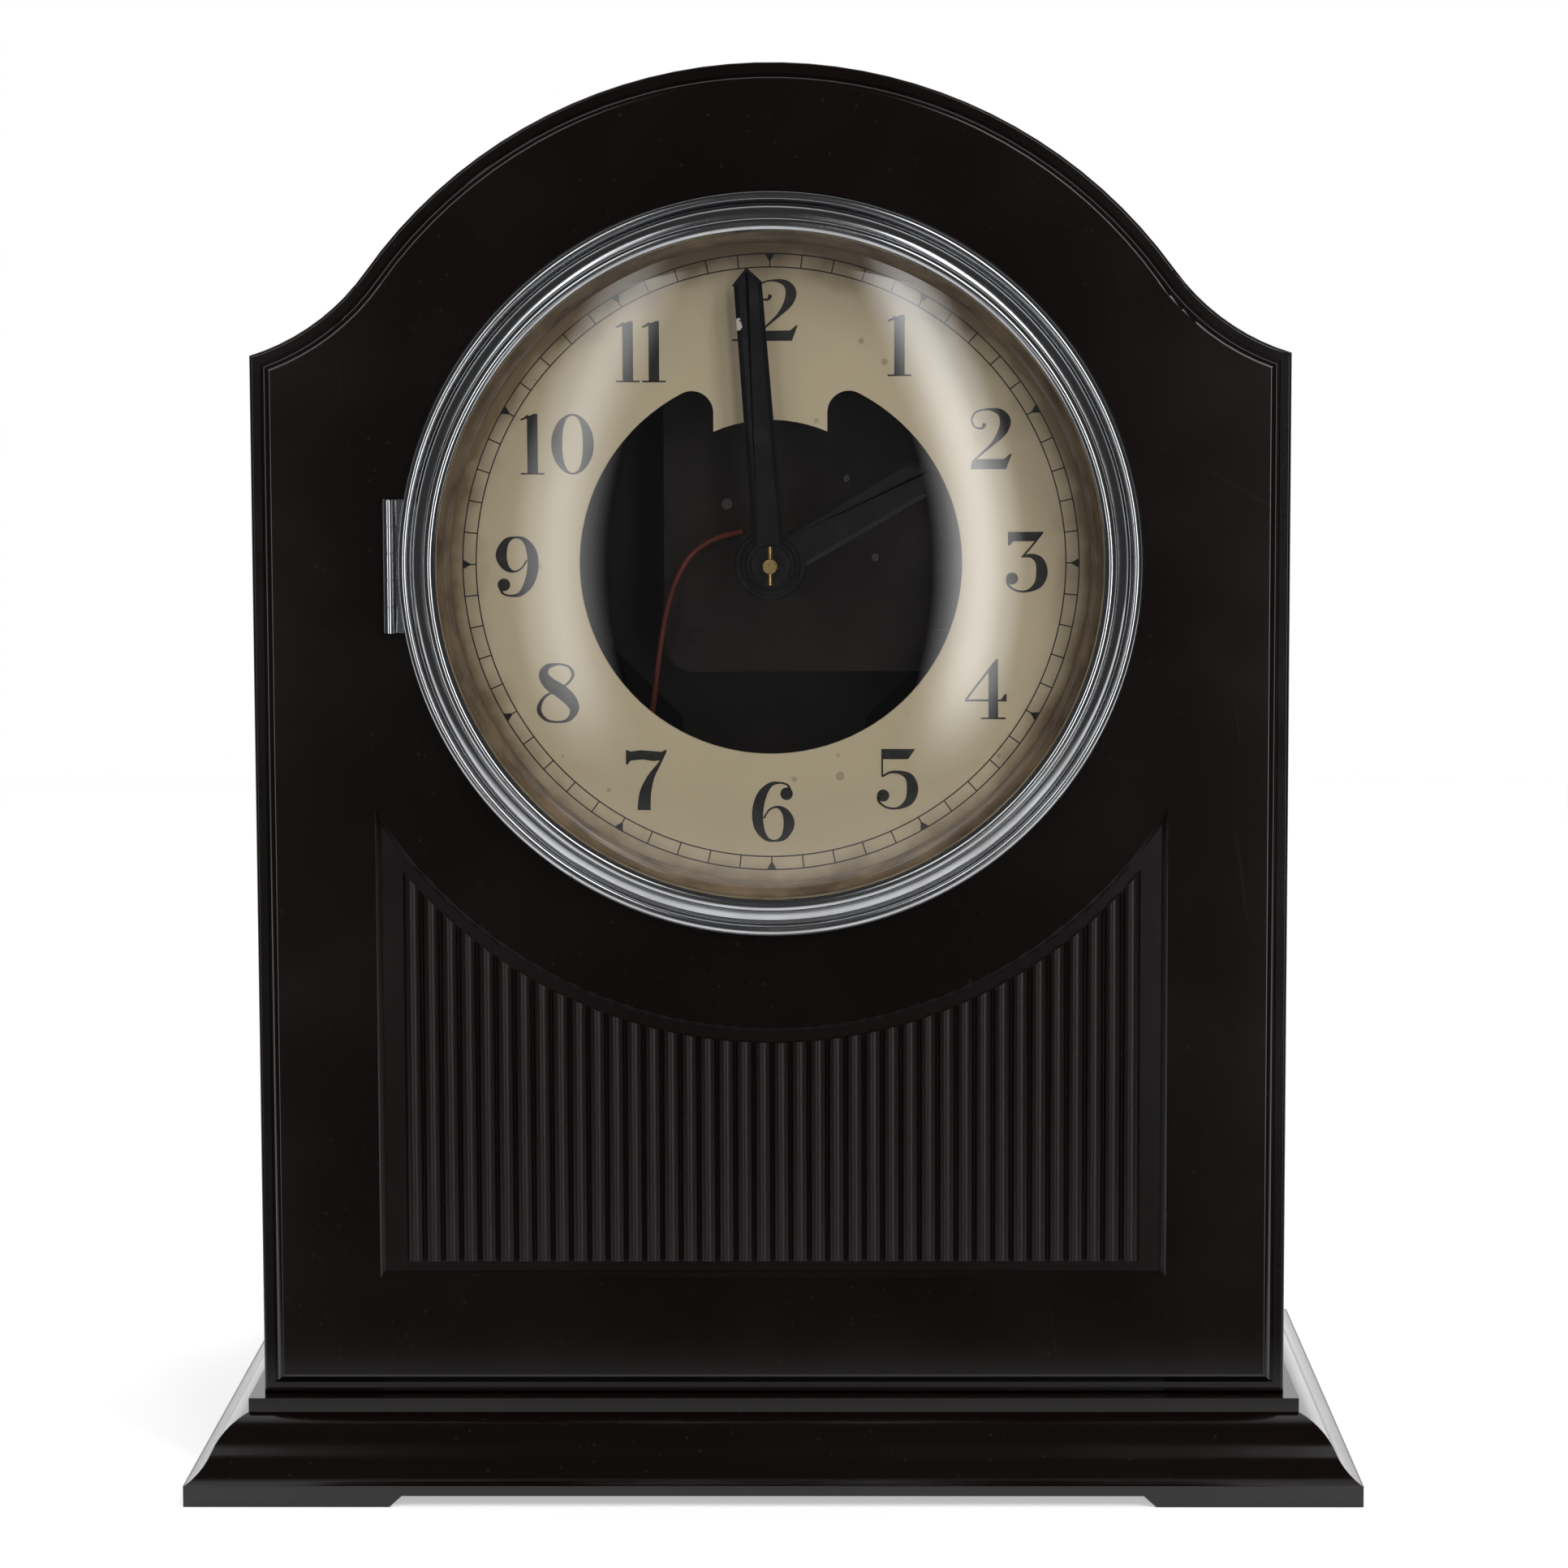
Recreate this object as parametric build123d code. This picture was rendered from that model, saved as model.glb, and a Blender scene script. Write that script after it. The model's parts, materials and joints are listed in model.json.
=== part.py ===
"""Arch-top mantel clock in a moulded phenolic case, with an electrically kept pendulum movement.

Millimetres. X runs to the right of the dial, Y to the back and Z up. The origin is on the table,
under the middle of the plinth. A point on the dial side of the case is written as (x, z).
"""
from build123d import *
from math import atan2, cos, degrees, hypot, radians, sin, sqrt, tan
import os

# Case shell
CASE_WIDTH = 173.2
CASE_DEPTH = 115.5
DIAL_HEIGHT = 157.0
ARCH_RADIUS = 83.0
SHOULDER_RADIUS = 37.5
SHOULDER_HEIGHT = 192.0
WALL = 4.0
FRONT_WALL = 6.0
CORNER_ROUND = 0.5
BORDER_BAND = 1.9
BORDER_GROOVE = 0.4
BORDER_GROOVE_DEPTH = 0.6
FACE_RISE = 1.6
FACE_ROUND = 1.3
BOSS_SIZE = 8.0
BOSS_HEIGHT = 14.0
REAR_BOSS_SETBACK = 10.0

# Reeded panel under the dial
PANEL_WIDTH = 131.0
PANEL_BOTTOM = 37.4
PANEL_DIAL_RADIUS = 78.6
PANEL_DEPTH = 1.2
PANEL_BEVEL = 0.9
REED_COUNT = 40
REED_PITCH = 3.1
REED_GAP = 0.14
REED_HEIGHT = 1.0
REED_MARGIN = 1.8

# Plinth
PLINTH_OVERHANG = 12.2
PLINTH_REAR_LEDGE = 7.7
PLINTH_HEIGHT = 16.2
PLINTH_FILLET = 2.25
PLINTH_FILLET_HEIGHT = 2.35
PLINTH_BAND = 3.6
PLINTH_BAND_STEP = 0.25
OGEE_TURN = (5.65, 5.55)
OGEE_BULGE = 0.80
OGEE_HOLLOW = 0.50
DECK = 4.0
SKIRT_LOW = 7.6
SKIRT_HIGH = 10.8
SKIRT_STEP = 6.0
FOOT_HEIGHT = 1.9
FOOT_WIDTH = 34.6
FOOT_DEPTH = 30.0
FOOT_SLOPE = 2.1

# Bezel, glass and dial
BEZEL_RADIUS = 62.0
BEZEL_ROLL = (1.4, 2.6)
BEZEL_GROOVE_RADIUS = 59.9
BEZEL_GROOVE = 1.9
BEZEL_TORUS_RADIUS = 57.5
BEZEL_TORUS = 5.0
BEZEL_BEAD = 6.4
BEZEL_LIP = 5.3
BEZEL_LIP_RADIUS = 55.2
BEZEL_SHEET = 0.7
BEZEL_FLANGE = 2.0
OPENING_RADIUS = 57.0
GLASS_RADIUS = 56.0
GLASS_EDGE = 3.4
GLASS_SAG = 7.2
GLASS_THICKNESS = 2.0
GLASS_STEEPNESS = 0.65
SIGHT_FRONT_RADIUS = 54.9
SIGHT_REAR_RADIUS = 53.3
SIGHT_SHEET = 1.3
SIGHT_DIAL_GAP = 0.7
DIAL_RADIUS = 62.0
DIAL_THICKNESS = 1.0
DIAL_WINDOW = 32.0
TONGUE_WIDTH = 19.0
TONGUE_RADIUS = 24.0
TONGUE_EAR = 3.6
DIAL_SCREW_RADIUS = 59.6

# Bezel hinge
KNUCKLE = 4.46
KNUCKLES = 5
BARREL = 1.15
HINGE_PIN = 0.55
LEAF = 0.55
LEAF_GAP = 0.2
HINGE_RISE = 0.8
HINGE_BEZEL_GAP = 0.3
HINGE_SCREW_SPACING = 14.0

# Hands, seen at 1:59
MINUTE_ANGLE = -4.4
MINUTE_LENGTH = 49.2
MINUTE_WIDTHS = (5.2, 4.65)
MINUTE_POINT = 2.4
MINUTE_BOSS = 4.2
HOUR_ANGLE = 59.6
HOUR_LENGTH = 31.6
HOUR_WIDTHS = (6.4, 6.8)
HOUR_POINT = 3.4
HOUR_BOSS = 6.0
HAND_THICKNESS = 0.8
HAND_TIP = 0.08
HOUR_HAND_STAND = 2.7
HAND_SPACING = 2.0
ARBOR_STAND = 3.4
TAPER_PIN = 0.45
TAPER_PIN_LENGTH = 6.4
HAND_WASHER = 3.4
HAND_WASHER_THICKNESS = 0.7

# Movement plates
STAND_BACK = 44.5
STAND_THICKNESS = 3.0
STAND_ABOVE_PIVOT = 6.0
STAND_WIDTH = 72.0
STAND_COLUMN = 32.0
STAND_SHOULDER_DROP = 29.0
STAND_FOOT = 22.0
STAND_FOOT_WIDTH = 60.0
PLATE_GAP = 16.0
FRONT_PLATE = 2.0
PLATE_LEFT = -18.5
PLATE_RIGHT = 34.5
PLATE_BELOW_DIAL = 19.5
PLATE_ABOVE_DIAL = 39.0
PLATE_ROUND = 5.0
PILLAR_INSET = 5.5
PILLAR = 2.2

# Gears: teeth and module
GEAR_ROOT = 1.25
GEAR_TIP = 0.85
TOOTH_AT_ROOT = 0.30
TOOTH_AT_TIP = 0.10
WHEEL = 1.1
PINION = 2.4
HOUR_LEVEL = 0.6
MINUTE_LEVEL = 2.2
CENTRE_LEVEL = 2.0
THIRD_LEVEL = 3.2
RATCHET_LEVEL = 3.4
CRANK_GAP = 0.5
CANNON_TEETH = 12
MINUTE_WHEEL_TEETH = 36
MOTION_MODULE = 0.5
MINUTE_PINION_TEETH = 10
HOUR_WHEEL_TEETH = 40
MOTION_ANGLE = 130.0
TRAIN_PINION_TEETH = 8
CENTRE_WHEEL_TEETH = 80
THIRD_WHEEL_TEETH = 64
TRAIN_MODULE = 0.4
THIRD_ANGLE = 0.0
RATCHET_ANGLE = 110.0
RATCHET_TEETH = 60
RATCHET_RADIUS = 9.0
RATCHET_DEPTH = 0.8
ARBOR = 0.9
PIVOT = 0.6
CENTRE_ARBOR = 1.2
CANNON_PIPE = 2.2
HOUR_PIPE = 3.1
WHEEL_HUB = 3.2
WHEEL_RIM = 1.6
SPOKE = 1.5

# Pendulum, fork and ratchet work
PIVOT_ABOVE_DIAL = 43.0
PENDULUM_BEHIND_STAND = 19.0
PENDULUM_LENGTH = 140.0
ROD = 1.5
CHOPS = (5.0, 8.0, 9.0)
SUSPENSION_WIDTH = 6.0
SUSPENSION_STRIP = 0.25
SUSPENSION_GAP = 0.3
COCK_WIDTH = 12.0
COCK_HEIGHT = 6.0
COCK_TAIL = 5.0
FORK_ABOVE_DIAL = 23.0
FORK_DROP = 20.0
CONTACT_PIN = 0.8
CONTACT_COLLAR = (3.2, 6.0)
FORK_PLATE = 2.0
FORK_STAND = 5.0
FORK_ARBOR = 1.2
FORK_BUSH = 2.8
FORK_HUB = 3.0
FORK_ARM = 4.0
FORK_REACH = 3.0
CRANK = 3.0
CRANK_EYE = 2.0
PAWL_HOVER = 0.15
PAWL_WIDTH = 1.8
CLICK_CONTACT_ANGLE = 28.0
CLICK_PIVOT = (14.0, 12.5)
CLICK_EYE = 1.9
COIL_LENGTH = 26.0
COIL_FLANGE = 13.0
COIL_CHEEK = 1.5
COIL_BORE = 6.5
COIL_TUBE = 1.2
WINDING = 12.0
STRAP_WIDTH = 6.0
STRAP_BAND = 1.0
STRAP_BOSS = (7.0, 9.0)
NUT_RADIUS = 5.5
NUT_HEIGHT = 4.0
NUT_ABOVE_BOSS = 1.5
NUT_FLUTES = 20
NUT_FLUTE = 0.45

# Magnet, battery and wiring
MAGNET = 3.5
MAGNET_HALF_ANGLE = 21.5
BRACKET_OFFSET = 50.0
BRACKET = (8.0, 12.0)
BRACKET_FOOT = (24.0, 18.0)
BRACKET_ABOVE = 6.5
FOOT_PLATE = 3.0
BATTERY_WALL_GAP = 10.1
BATTERY_DOOR_GAP = 3.5
BATTERY_BRACKET_GAP = 2.5
BATTERY_HEIGHT = 62.0
BATTERY_CAP = (5.0, 3.3)
BATTERY_POST = (1.8, 3.3)
BATTERY_POST_INSET = 4.0
CLIP_BAND = 0.9
CLIP_LOW = 12.0
CLIP_TALL = 16.0
CLIP_MOUTH = 80.0
CLIP_FOOT = (11.0, 12.0)
LEAD = 0.5
TERMINAL_RED_OFFSET = (-5.2, 4.5)
TERMINAL_BLACK_OFFSET = (-11.0, -41.0)

# Back door
DOOR_THICKNESS = 4.0
DOOR_LEDGE = 2.0
DOOR_LEDGE_THICKNESS = 3.0
DOOR_PANEL_INSET = 14.0
DOOR_PANEL_DEPTH = 0.9
DOOR_HINGE_HEIGHTS = (58.0, 150.0)
DOOR_KNUCKLE = 7.0
DOOR_BARREL = 1.3
DOOR_PIN = 0.6
DOOR_LEAF = 0.8
DOOR_LEAF_WIDTH = 12.0
DOOR_LEAF_LIFT = 0.1
RIM_LEAF_MARGIN = 0.6
KNOB_LEVEL = 105.0
KNOB_RADIUS = 7.0
KNOB_HEIGHT = 6.0
KNOB_NECK = 4.0
CATCH_HEIGHT = 14.0
CATCH_STRIP = 0.5
CATCH_REACH = 6.0
CATCH_BASE = 9.0
CATCH_GAP = 0.9

# Screws: shank radius, head radius, head height
SMALL_SCREW = (0.9, 1.7, 1.0)
WOOD_SCREW = (1.5, 3.0, 1.8)
TINY_SCREW = (0.55, 1.0, 0.4)

# Clearances
FIT = 0.05
DOOR_GAP = 0.4
END_SHAKE = 0.3
KNUCKLE_GAP = 0.1
FORK_PLAY = 0.4
CUT = 1.0

# Places worked out from the sizes above
HALF = CASE_WIDTH / 2
PLINTH_WIDTH = CASE_WIDTH + 2 * PLINTH_OVERHANG
PLINTH_DEPTH = CASE_DEPTH + PLINTH_OVERHANG + PLINTH_REAR_LEDGE
FACE_Y = PLINTH_OVERHANG - PLINTH_DEPTH / 2
BAND_Y = FACE_Y + FACE_RISE
INNER_Y = FACE_Y + FRONT_WALL
REAR_Y = FACE_Y + CASE_DEPTH
DOOR_Y = REAR_Y - DOOR_THICKNESS
LEDGE_Y = DOOR_Y - DOOR_LEDGE_THICKNESS
DECK_LOW = PLINTH_HEIGHT - DECK
DIAL_BACK_Y = INNER_Y + DIAL_THICKNESS
DIAL_CENTRE = (0.0, DIAL_HEIGHT)
PIVOT_HEIGHT = DIAL_HEIGHT + PIVOT_ABOVE_DIAL
STAND_TOP = PIVOT_HEIGHT + STAND_ABOVE_PIVOT
STAND_SHOULDER = DIAL_HEIGHT - STAND_SHOULDER_DROP
PLATE_LOW = DIAL_HEIGHT - PLATE_BELOW_DIAL
PLATE_HIGH = DIAL_HEIGHT + PLATE_ABOVE_DIAL
TERMINAL_RED = (TERMINAL_RED_OFFSET[0], DIAL_HEIGHT + TERMINAL_RED_OFFSET[1])
TERMINAL_BLACK = (TERMINAL_BLACK_OFFSET[0], DIAL_HEIGHT + TERMINAL_BLACK_OFFSET[1])
BATTERY_TOP = PLINTH_HEIGHT + BATTERY_HEIGHT
STAND_Y = FACE_Y + STAND_BACK - STAND_THICKNESS
STAND_REAR_Y = STAND_Y + STAND_THICKNESS
PLATE_REAR_Y = STAND_Y - PLATE_GAP
PLATE_Y = PLATE_REAR_Y - FRONT_PLATE
PENDULUM_Y = STAND_REAR_Y + PENDULUM_BEHIND_STAND
BATTERY_FRONT = PENDULUM_Y + BRACKET_FOOT[1] / 2 + BATTERY_BRACKET_GAP
BATTERY_RADIUS = (DOOR_Y - BATTERY_DOOR_GAP - BATTERY_FRONT) / 2
BATTERY_PLACE = (BATTERY_WALL_GAP + BATTERY_RADIUS + WALL - HALF, BATTERY_FRONT + BATTERY_RADIUS)
COIL_HEIGHT = PIVOT_HEIGHT - PENDULUM_LENGTH
STRAP_TOP = COIL_HEIGHT + WINDING + STRAP_BAND + STRAP_BOSS[1]
FORK_CENTRE = (0.0, DIAL_HEIGHT + FORK_ABOVE_DIAL)
FORK_Y = STAND_REAR_Y + FORK_STAND
HOUR_HAND_Y = INNER_Y - HOUR_HAND_STAND
MINUTE_HAND_Y = HOUR_HAND_Y - HAND_SPACING
ARBOR_TIP_Y = MINUTE_HAND_Y - HAND_THICKNESS - ARBOR_STAND
MOTION_DISTANCE = MOTION_MODULE * (CANNON_TEETH + MINUTE_WHEEL_TEETH) / 2
HOUR_MODULE = 2 * MOTION_DISTANCE / (MINUTE_PINION_TEETH + HOUR_WHEEL_TEETH)
CENTRE_TO_THIRD = TRAIN_MODULE * (CENTRE_WHEEL_TEETH + TRAIN_PINION_TEETH) / 2
THIRD_TO_RATCHET = TRAIN_MODULE * (THIRD_WHEEL_TEETH + TRAIN_PINION_TEETH) / 2

# Levels of the wheels between the plates, from the front
HOUR_WHEEL_Y = PLATE_REAR_Y + HOUR_LEVEL
MINUTE_WHEEL_Y = HOUR_WHEEL_Y + MINUTE_LEVEL
CENTRE_WHEEL_Y = MINUTE_WHEEL_Y + CENTRE_LEVEL
THIRD_WHEEL_Y = CENTRE_WHEEL_Y + THIRD_LEVEL
RATCHET_Y = THIRD_WHEEL_Y + RATCHET_LEVEL
CRANK_Y = RATCHET_Y + WHEEL + CRANK_GAP

# Hinge lines
BEZEL_AXIS = (-(BEZEL_RADIUS + HINGE_BEZEL_GAP + BARREL), FACE_Y - HINGE_RISE)
BEZEL_HINGE_LOW = DIAL_HEIGHT - KNUCKLES * KNUCKLE / 2
POCKET_DEPTH = 2 * LEAF + 2 * LEAF_GAP
DOOR_EDGE = HALF - WALL - DOOR_GAP
DOOR_AXIS = (HALF - WALL - DOOR_GAP / 2, REAR_Y + DOOR_BARREL + DOOR_LEAF_LIFT)
KNOB_PLACE = (-(HALF - WALL - DOOR_PANEL_INSET / 2), KNOB_LEVEL)

# Routes of the two leads: offsets from the front plate's terminal, the stand's terminal and the cell's top
RED_FROM_PLATE = [(-6.8, -2.5, -0.9), (-12.0, -3.1, -8.9), (-14.2, -2.9, -21.0), (-15.8, -0.5, -35.0),
                  (-21.8, 7.5, -48.5)]
RED_FROM_CELL = [(18.0, -46.0, 24.8), (7.5, -27.0, 20.8), (2.0, -13.0, 19.3), (0.0, -3.0, 15.3)]
BLACK_FROM_STAND = [(-6.0, 4.5, -3.0), (-14.0, 12.0, -8.5)]
BLACK_FROM_CELL = [(23.0, -23.0, 22.8), (17.0, -12.0, 17.3), (13.4, -3.4, 13.8)]
LEAD_DROP = 5.5


def polar(centre, radius, angle):
    """Point at a radius and an angle in degrees from a centre."""
    return (centre[0] + radius * cos(radians(angle)), centre[1] + radius * sin(radians(angle)))


MINUTE_STUD = polar(DIAL_CENTRE, MOTION_DISTANCE, MOTION_ANGLE)
THIRD_CENTRE = polar(DIAL_CENTRE, CENTRE_TO_THIRD, THIRD_ANGLE)
RATCHET_CENTRE = polar(THIRD_CENTRE, THIRD_TO_RATCHET, RATCHET_ANGLE)
CLICK_CENTRE = (RATCHET_CENTRE[0] + CLICK_PIVOT[0], RATCHET_CENTRE[1] + CLICK_PIVOT[1])
CRANK_EYE_CENTRE = (FORK_CENTRE[0], FORK_CENTRE[1] + CRANK)


def upright(y):
    """Plane at depth y whose own axes are X and Z and which faces the front."""
    return Plane(origin=(0, y, 0), x_dir=(1, 0, 0), z_dir=(0, -1, 0))


def slab(sketch, front, back):
    """Plate with the outline of a sketch in X and Z, between two depths."""
    return extrude(upright(back) * sketch, amount=back - front, dir=(0, -1, 0))


def disc(centre, radius, front, back):
    return slab(Pos(*centre) * Circle(radius), front, back)


def pipe(centre, outer, inner, front, back):
    return slab(Pos(*centre) * (Circle(outer) - Circle(inner)), front, back)


def post(place, radius, low, high):
    """Upright cylinder at a place in X and Y."""
    return Pos(place[0], place[1], (low + high) / 2) * Cylinder(radius, high - low)


def block(x, y, z):
    """Box between pairs of low and high values."""
    size = [pair[1] - pair[0] for pair in (x, y, z)]
    middle = [(pair[1] + pair[0]) / 2 for pair in (x, y, z)]
    return Pos(*middle) * Box(*size)


def around(middle, width):
    return (middle - width / 2, middle + width / 2)


def outline(*points):
    """Face inside a closed run of points, taken anticlockwise."""
    pairs = zip(points, points[1:] + points[:1])
    turned = sum(here[0] * there[1] - there[0] * here[1] for here, there in pairs)
    return Polygon(*(points if turned > 0 else points[::-1]), align=None)


def lathe(edges):
    """Solid turned about the dial's axis from edges in radius and depth."""
    profile = Plane(origin=(0, 0, DIAL_HEIGHT)) * make_face(edges)
    return revolve(profile, axis=Axis((0, 0, DIAL_HEIGHT), (0, 1, 0)))


def ahead(radius, rise):
    """Point of a lathe profile at a rise in front of the case's face."""
    return (radius, FACE_Y - rise)


def group(shapes):
    """Separate solids that share one node."""
    return Compound([solid for shape in shapes for solid in shape.solids()])


def bowed(start, end, bulge):
    """Arc from start to end, standing off its chord to the left by the bulge."""
    run = (end[0] - start[0], end[1] - start[1])
    length = hypot(*run)
    middle = ((start[0] + end[0]) / 2 - run[1] / length * bulge,
              (start[1] + end[1]) / 2 + run[0] / length * bulge)
    return ThreePointArc(start, middle, end)


def shoulder_centre():
    """Centre of the hollow shoulder, which touches the arch and ends at the case's corner."""
    reach = ARCH_RADIUS + SHOULDER_RADIUS
    rise = SHOULDER_HEIGHT - DIAL_HEIGHT
    corner = hypot(HALF, rise)
    along = (corner**2 + reach**2 - SHOULDER_RADIUS**2) / (2 * corner)
    across = sqrt(reach**2 - along**2)
    x = (along * HALF - across * rise) / corner
    return (x, DIAL_HEIGHT + (along * rise + across * HALF) / corner)


def case_outline(inset, bottom):
    """Face of the case's outline, drawn in by an inset, down to a bottom height."""
    hollow = shoulder_centre()
    side = HALF - inset
    arch = ARCH_RADIUS - inset
    radius = SHOULDER_RADIUS + inset
    corner = (side, hollow[1] - sqrt(radius**2 - (hollow[0] - side)**2))
    share = arch / (ARCH_RADIUS + SHOULDER_RADIUS)
    joint = (hollow[0] * share, DIAL_HEIGHT + (hollow[1] - DIAL_HEIGHT) * share)
    first = degrees(atan2(corner[1] - hollow[1], corner[0] - hollow[0])) % 360
    last = degrees(atan2(joint[1] - hollow[1], joint[0] - hollow[0])) % 360
    middle = polar(hollow, radius, (first + last) / 2)
    edges = [
        Line((-side, bottom), (side, bottom)),
        Line((side, bottom), corner),
        ThreePointArc(corner, middle, joint),
        ThreePointArc(joint, (0, DIAL_HEIGHT + arch), (-joint[0], joint[1])),
        ThreePointArc((-joint[0], joint[1]), (-middle[0], middle[1]), (-corner[0], corner[1])),
        Line((-corner[0], corner[1]), (-side, bottom)),
    ]
    return make_face(edges)


def bordered(inset):
    return case_outline(inset, PLINTH_HEIGHT + inset)


def hollowed(inset):
    return case_outline(inset, PLINTH_HEIGHT - CUT)


def panel_face(inset):
    """Face of the reeded panel, whose top edge runs round the dial."""
    side = PANEL_WIDTH / 2 - inset
    low = PANEL_BOTTOM + inset
    radius = PANEL_DIAL_RADIUS + inset
    tip = DIAL_HEIGHT - sqrt(radius**2 - side**2)
    edges = [
        Line((-side, low), (side, low)),
        Line((side, low), (side, tip)),
        ThreePointArc((side, tip), (0, DIAL_HEIGHT - radius), (-side, tip)),
        Line((-side, tip), (-side, low)),
    ]
    return make_face(edges)


def reeds():
    """Half-round reeds that fill the sunk panel."""
    floor = FACE_Y + PANEL_DEPTH
    half = (REED_PITCH - REED_GAP) / 2
    root = floor + PANEL_DEPTH / 2
    ribs = []
    for number in range(REED_COUNT):
        middle = (number - (REED_COUNT - 1) / 2) * REED_PITCH
        edges = [
            Line((middle - half, root), (middle + half, root)),
            Line((middle + half, root), (middle + half, floor)),
            ThreePointArc((middle + half, floor), (middle, floor - REED_HEIGHT), (middle - half, floor)),
            Line((middle - half, floor), (middle - half, root)),
        ]
        ribs.append(extrude(Plane(origin=(0, 0, PANEL_BOTTOM)) * make_face(edges),
                            amount=DIAL_HEIGHT - PANEL_BOTTOM))
    room = slab(panel_face(REED_MARGIN), FACE_Y - CUT, root)
    return [rib & room for rib in ribs]


def boss_places():
    """Middles of the four corner bosses in X and Y."""
    x = HALF - WALL - BOSS_SIZE / 2
    front = INNER_Y + BOSS_SIZE / 2
    rear = LEDGE_Y - REAR_BOSS_SETBACK
    return [(side * x, y) for side in (-1, 1) for y in (front, rear)]


def dial_screw_places():
    return [polar(DIAL_CENTRE, DIAL_SCREW_RADIUS, angle) for angle in (45, 135, 225, 315)]


def hinge_screw_places():
    x = (BEZEL_AXIS[0] - OPENING_RADIUS) / 2
    return [(x, DIAL_HEIGHT + side * HINGE_SCREW_SPACING / 2) for side in (-1, 1)]


def rim_leaf_edge():
    """Edge of the door hinges' case leaves beside their barrels."""
    return DOOR_AXIS[0] + DOOR_BARREL + DOOR_GAP


def rim_screw_places():
    """Screws of the door hinges into the case's rear rim."""
    x = (rim_leaf_edge() + HALF - RIM_LEAF_MARGIN) / 2
    return [(x, height + side * DOOR_KNUCKLE) for height in DOOR_HINGE_HEIGHTS for side in (-1, 1)]


def case_shell():
    """Hood of the case: face, side walls and arch in one moulding, open below and behind."""
    hood = slab(bordered(0), BAND_Y, REAR_Y)
    hood = fillet(hood.edges().group_by(Axis.Y)[0], CORNER_ROUND)
    face = slab(bordered(BORDER_BAND + BORDER_GROOVE), FACE_Y, BAND_Y)
    face = fillet(face.edges().group_by(Axis.Y)[0], FACE_ROUND)
    groove = slab(bordered(BORDER_BAND) - bordered(BORDER_BAND + BORDER_GROOVE), BAND_Y - CUT,
                  BAND_Y + BORDER_GROOVE_DEPTH)
    hood = hood - groove + face
    hood -= slab(hollowed(WALL), INNER_Y, LEDGE_Y)
    hood -= slab(hollowed(WALL + DOOR_LEDGE), LEDGE_Y - CUT, REAR_Y)
    hood -= slab(hollowed(WALL), DOOR_Y, REAR_Y + CUT)
    panel = slab(panel_face(0), FACE_Y, FACE_Y + PANEL_DEPTH)
    rim = panel.edges().group_by(Axis.Y)[0]
    hood -= panel
    corners = [edge for edge in hood.edges() for line in rim if (edge.center() - line.center()).length < FIT]
    hood = chamfer(corners, PANEL_BEVEL)
    hood = hood + reeds()
    hood -= disc(DIAL_CENTRE, OPENING_RADIUS, FACE_Y - CUT, INNER_Y + CUT)
    left = BEZEL_AXIS[0] - BARREL - LEAF_GAP
    tall = KNUCKLES * KNUCKLE + 2 * LEAF_GAP
    hood -= block((left, -OPENING_RADIUS / 2), (FACE_Y - CUT, FACE_Y + POCKET_DEPTH),
                  around(DIAL_HEIGHT, tall))
    for x, y in boss_places():
        lean = WALL / 2 if x > 0 else -WALL / 2
        hood += block(around(x + lean / 2, BOSS_SIZE + abs(lean)), around(y, BOSS_SIZE),
                      (PLINTH_HEIGHT, PLINTH_HEIGHT + BOSS_HEIGHT))
    for place in boss_places():
        hood -= post(place, WOOD_SCREW[0] + FIT, PLINTH_HEIGHT - CUT, PLINTH_HEIGHT + BOSS_HEIGHT - WALL / 2)
    for place in dial_screw_places():
        hood -= disc(place, SMALL_SCREW[0] + FIT, INNER_Y - FRONT_WALL / 2, INNER_Y + CUT)
    for place in hinge_screw_places():
        hood -= disc(place, TINY_SCREW[0] + FIT, FACE_Y, INNER_Y - FRONT_WALL / 4)
    for place in rim_screw_places():
        hood -= disc(place, TINY_SCREW[0] + FIT, REAR_Y - WALL, REAR_Y + CUT)
    return hood


def ogee(side, outer, inner):
    """Edges of the plinth's moulding on one side, from the table up to its top."""
    foot = (side * outer, 0)
    band = (side * outer, PLINTH_BAND)
    start = (side * (outer - PLINTH_BAND_STEP), PLINTH_BAND)
    top = (side * inner, PLINTH_HEIGHT - PLINTH_FILLET_HEIGHT)
    turn = (side * (inner + OGEE_TURN[0]), top[1] - OGEE_TURN[1])
    return [
        Line(foot, band),
        Line(band, start),
        bowed(start, turn, side * OGEE_HOLLOW),
        bowed(turn, top, -side * OGEE_BULGE),
        Line(top, (top[0], PLINTH_HEIGHT)),
    ]


def foot_gap(reach, foot):
    """Gap under the plinth between two feet, with sloped ends."""
    edge = reach - foot
    return outline((-edge, -CUT), (edge, -CUT), (edge, 0), (edge - FOOT_SLOPE, FOOT_HEIGHT),
                   (FOOT_SLOPE - edge, FOOT_HEIGHT), (-edge, 0))


def deck_screw_places():
    """Screws through the feet of the movement, magnet and battery clip into the deck."""
    stand = [(x, STAND_Y - STAND_FOOT / 2) for x in around(0, STAND_FOOT_WIDTH - 3 * WOOD_SCREW[1])]
    spread = BRACKET_FOOT[0] - 2.4 * WOOD_SCREW[1]
    magnet = [(x, PENDULUM_Y) for side in (-1, 1) for x in around(side * BRACKET_OFFSET, spread)]
    clip = (BATTERY_PLACE[0] + BATTERY_RADIUS + CLIP_BAND + CLIP_FOOT[0] / 2, BATTERY_PLACE[1])
    return stand, magnet, [clip]


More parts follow.
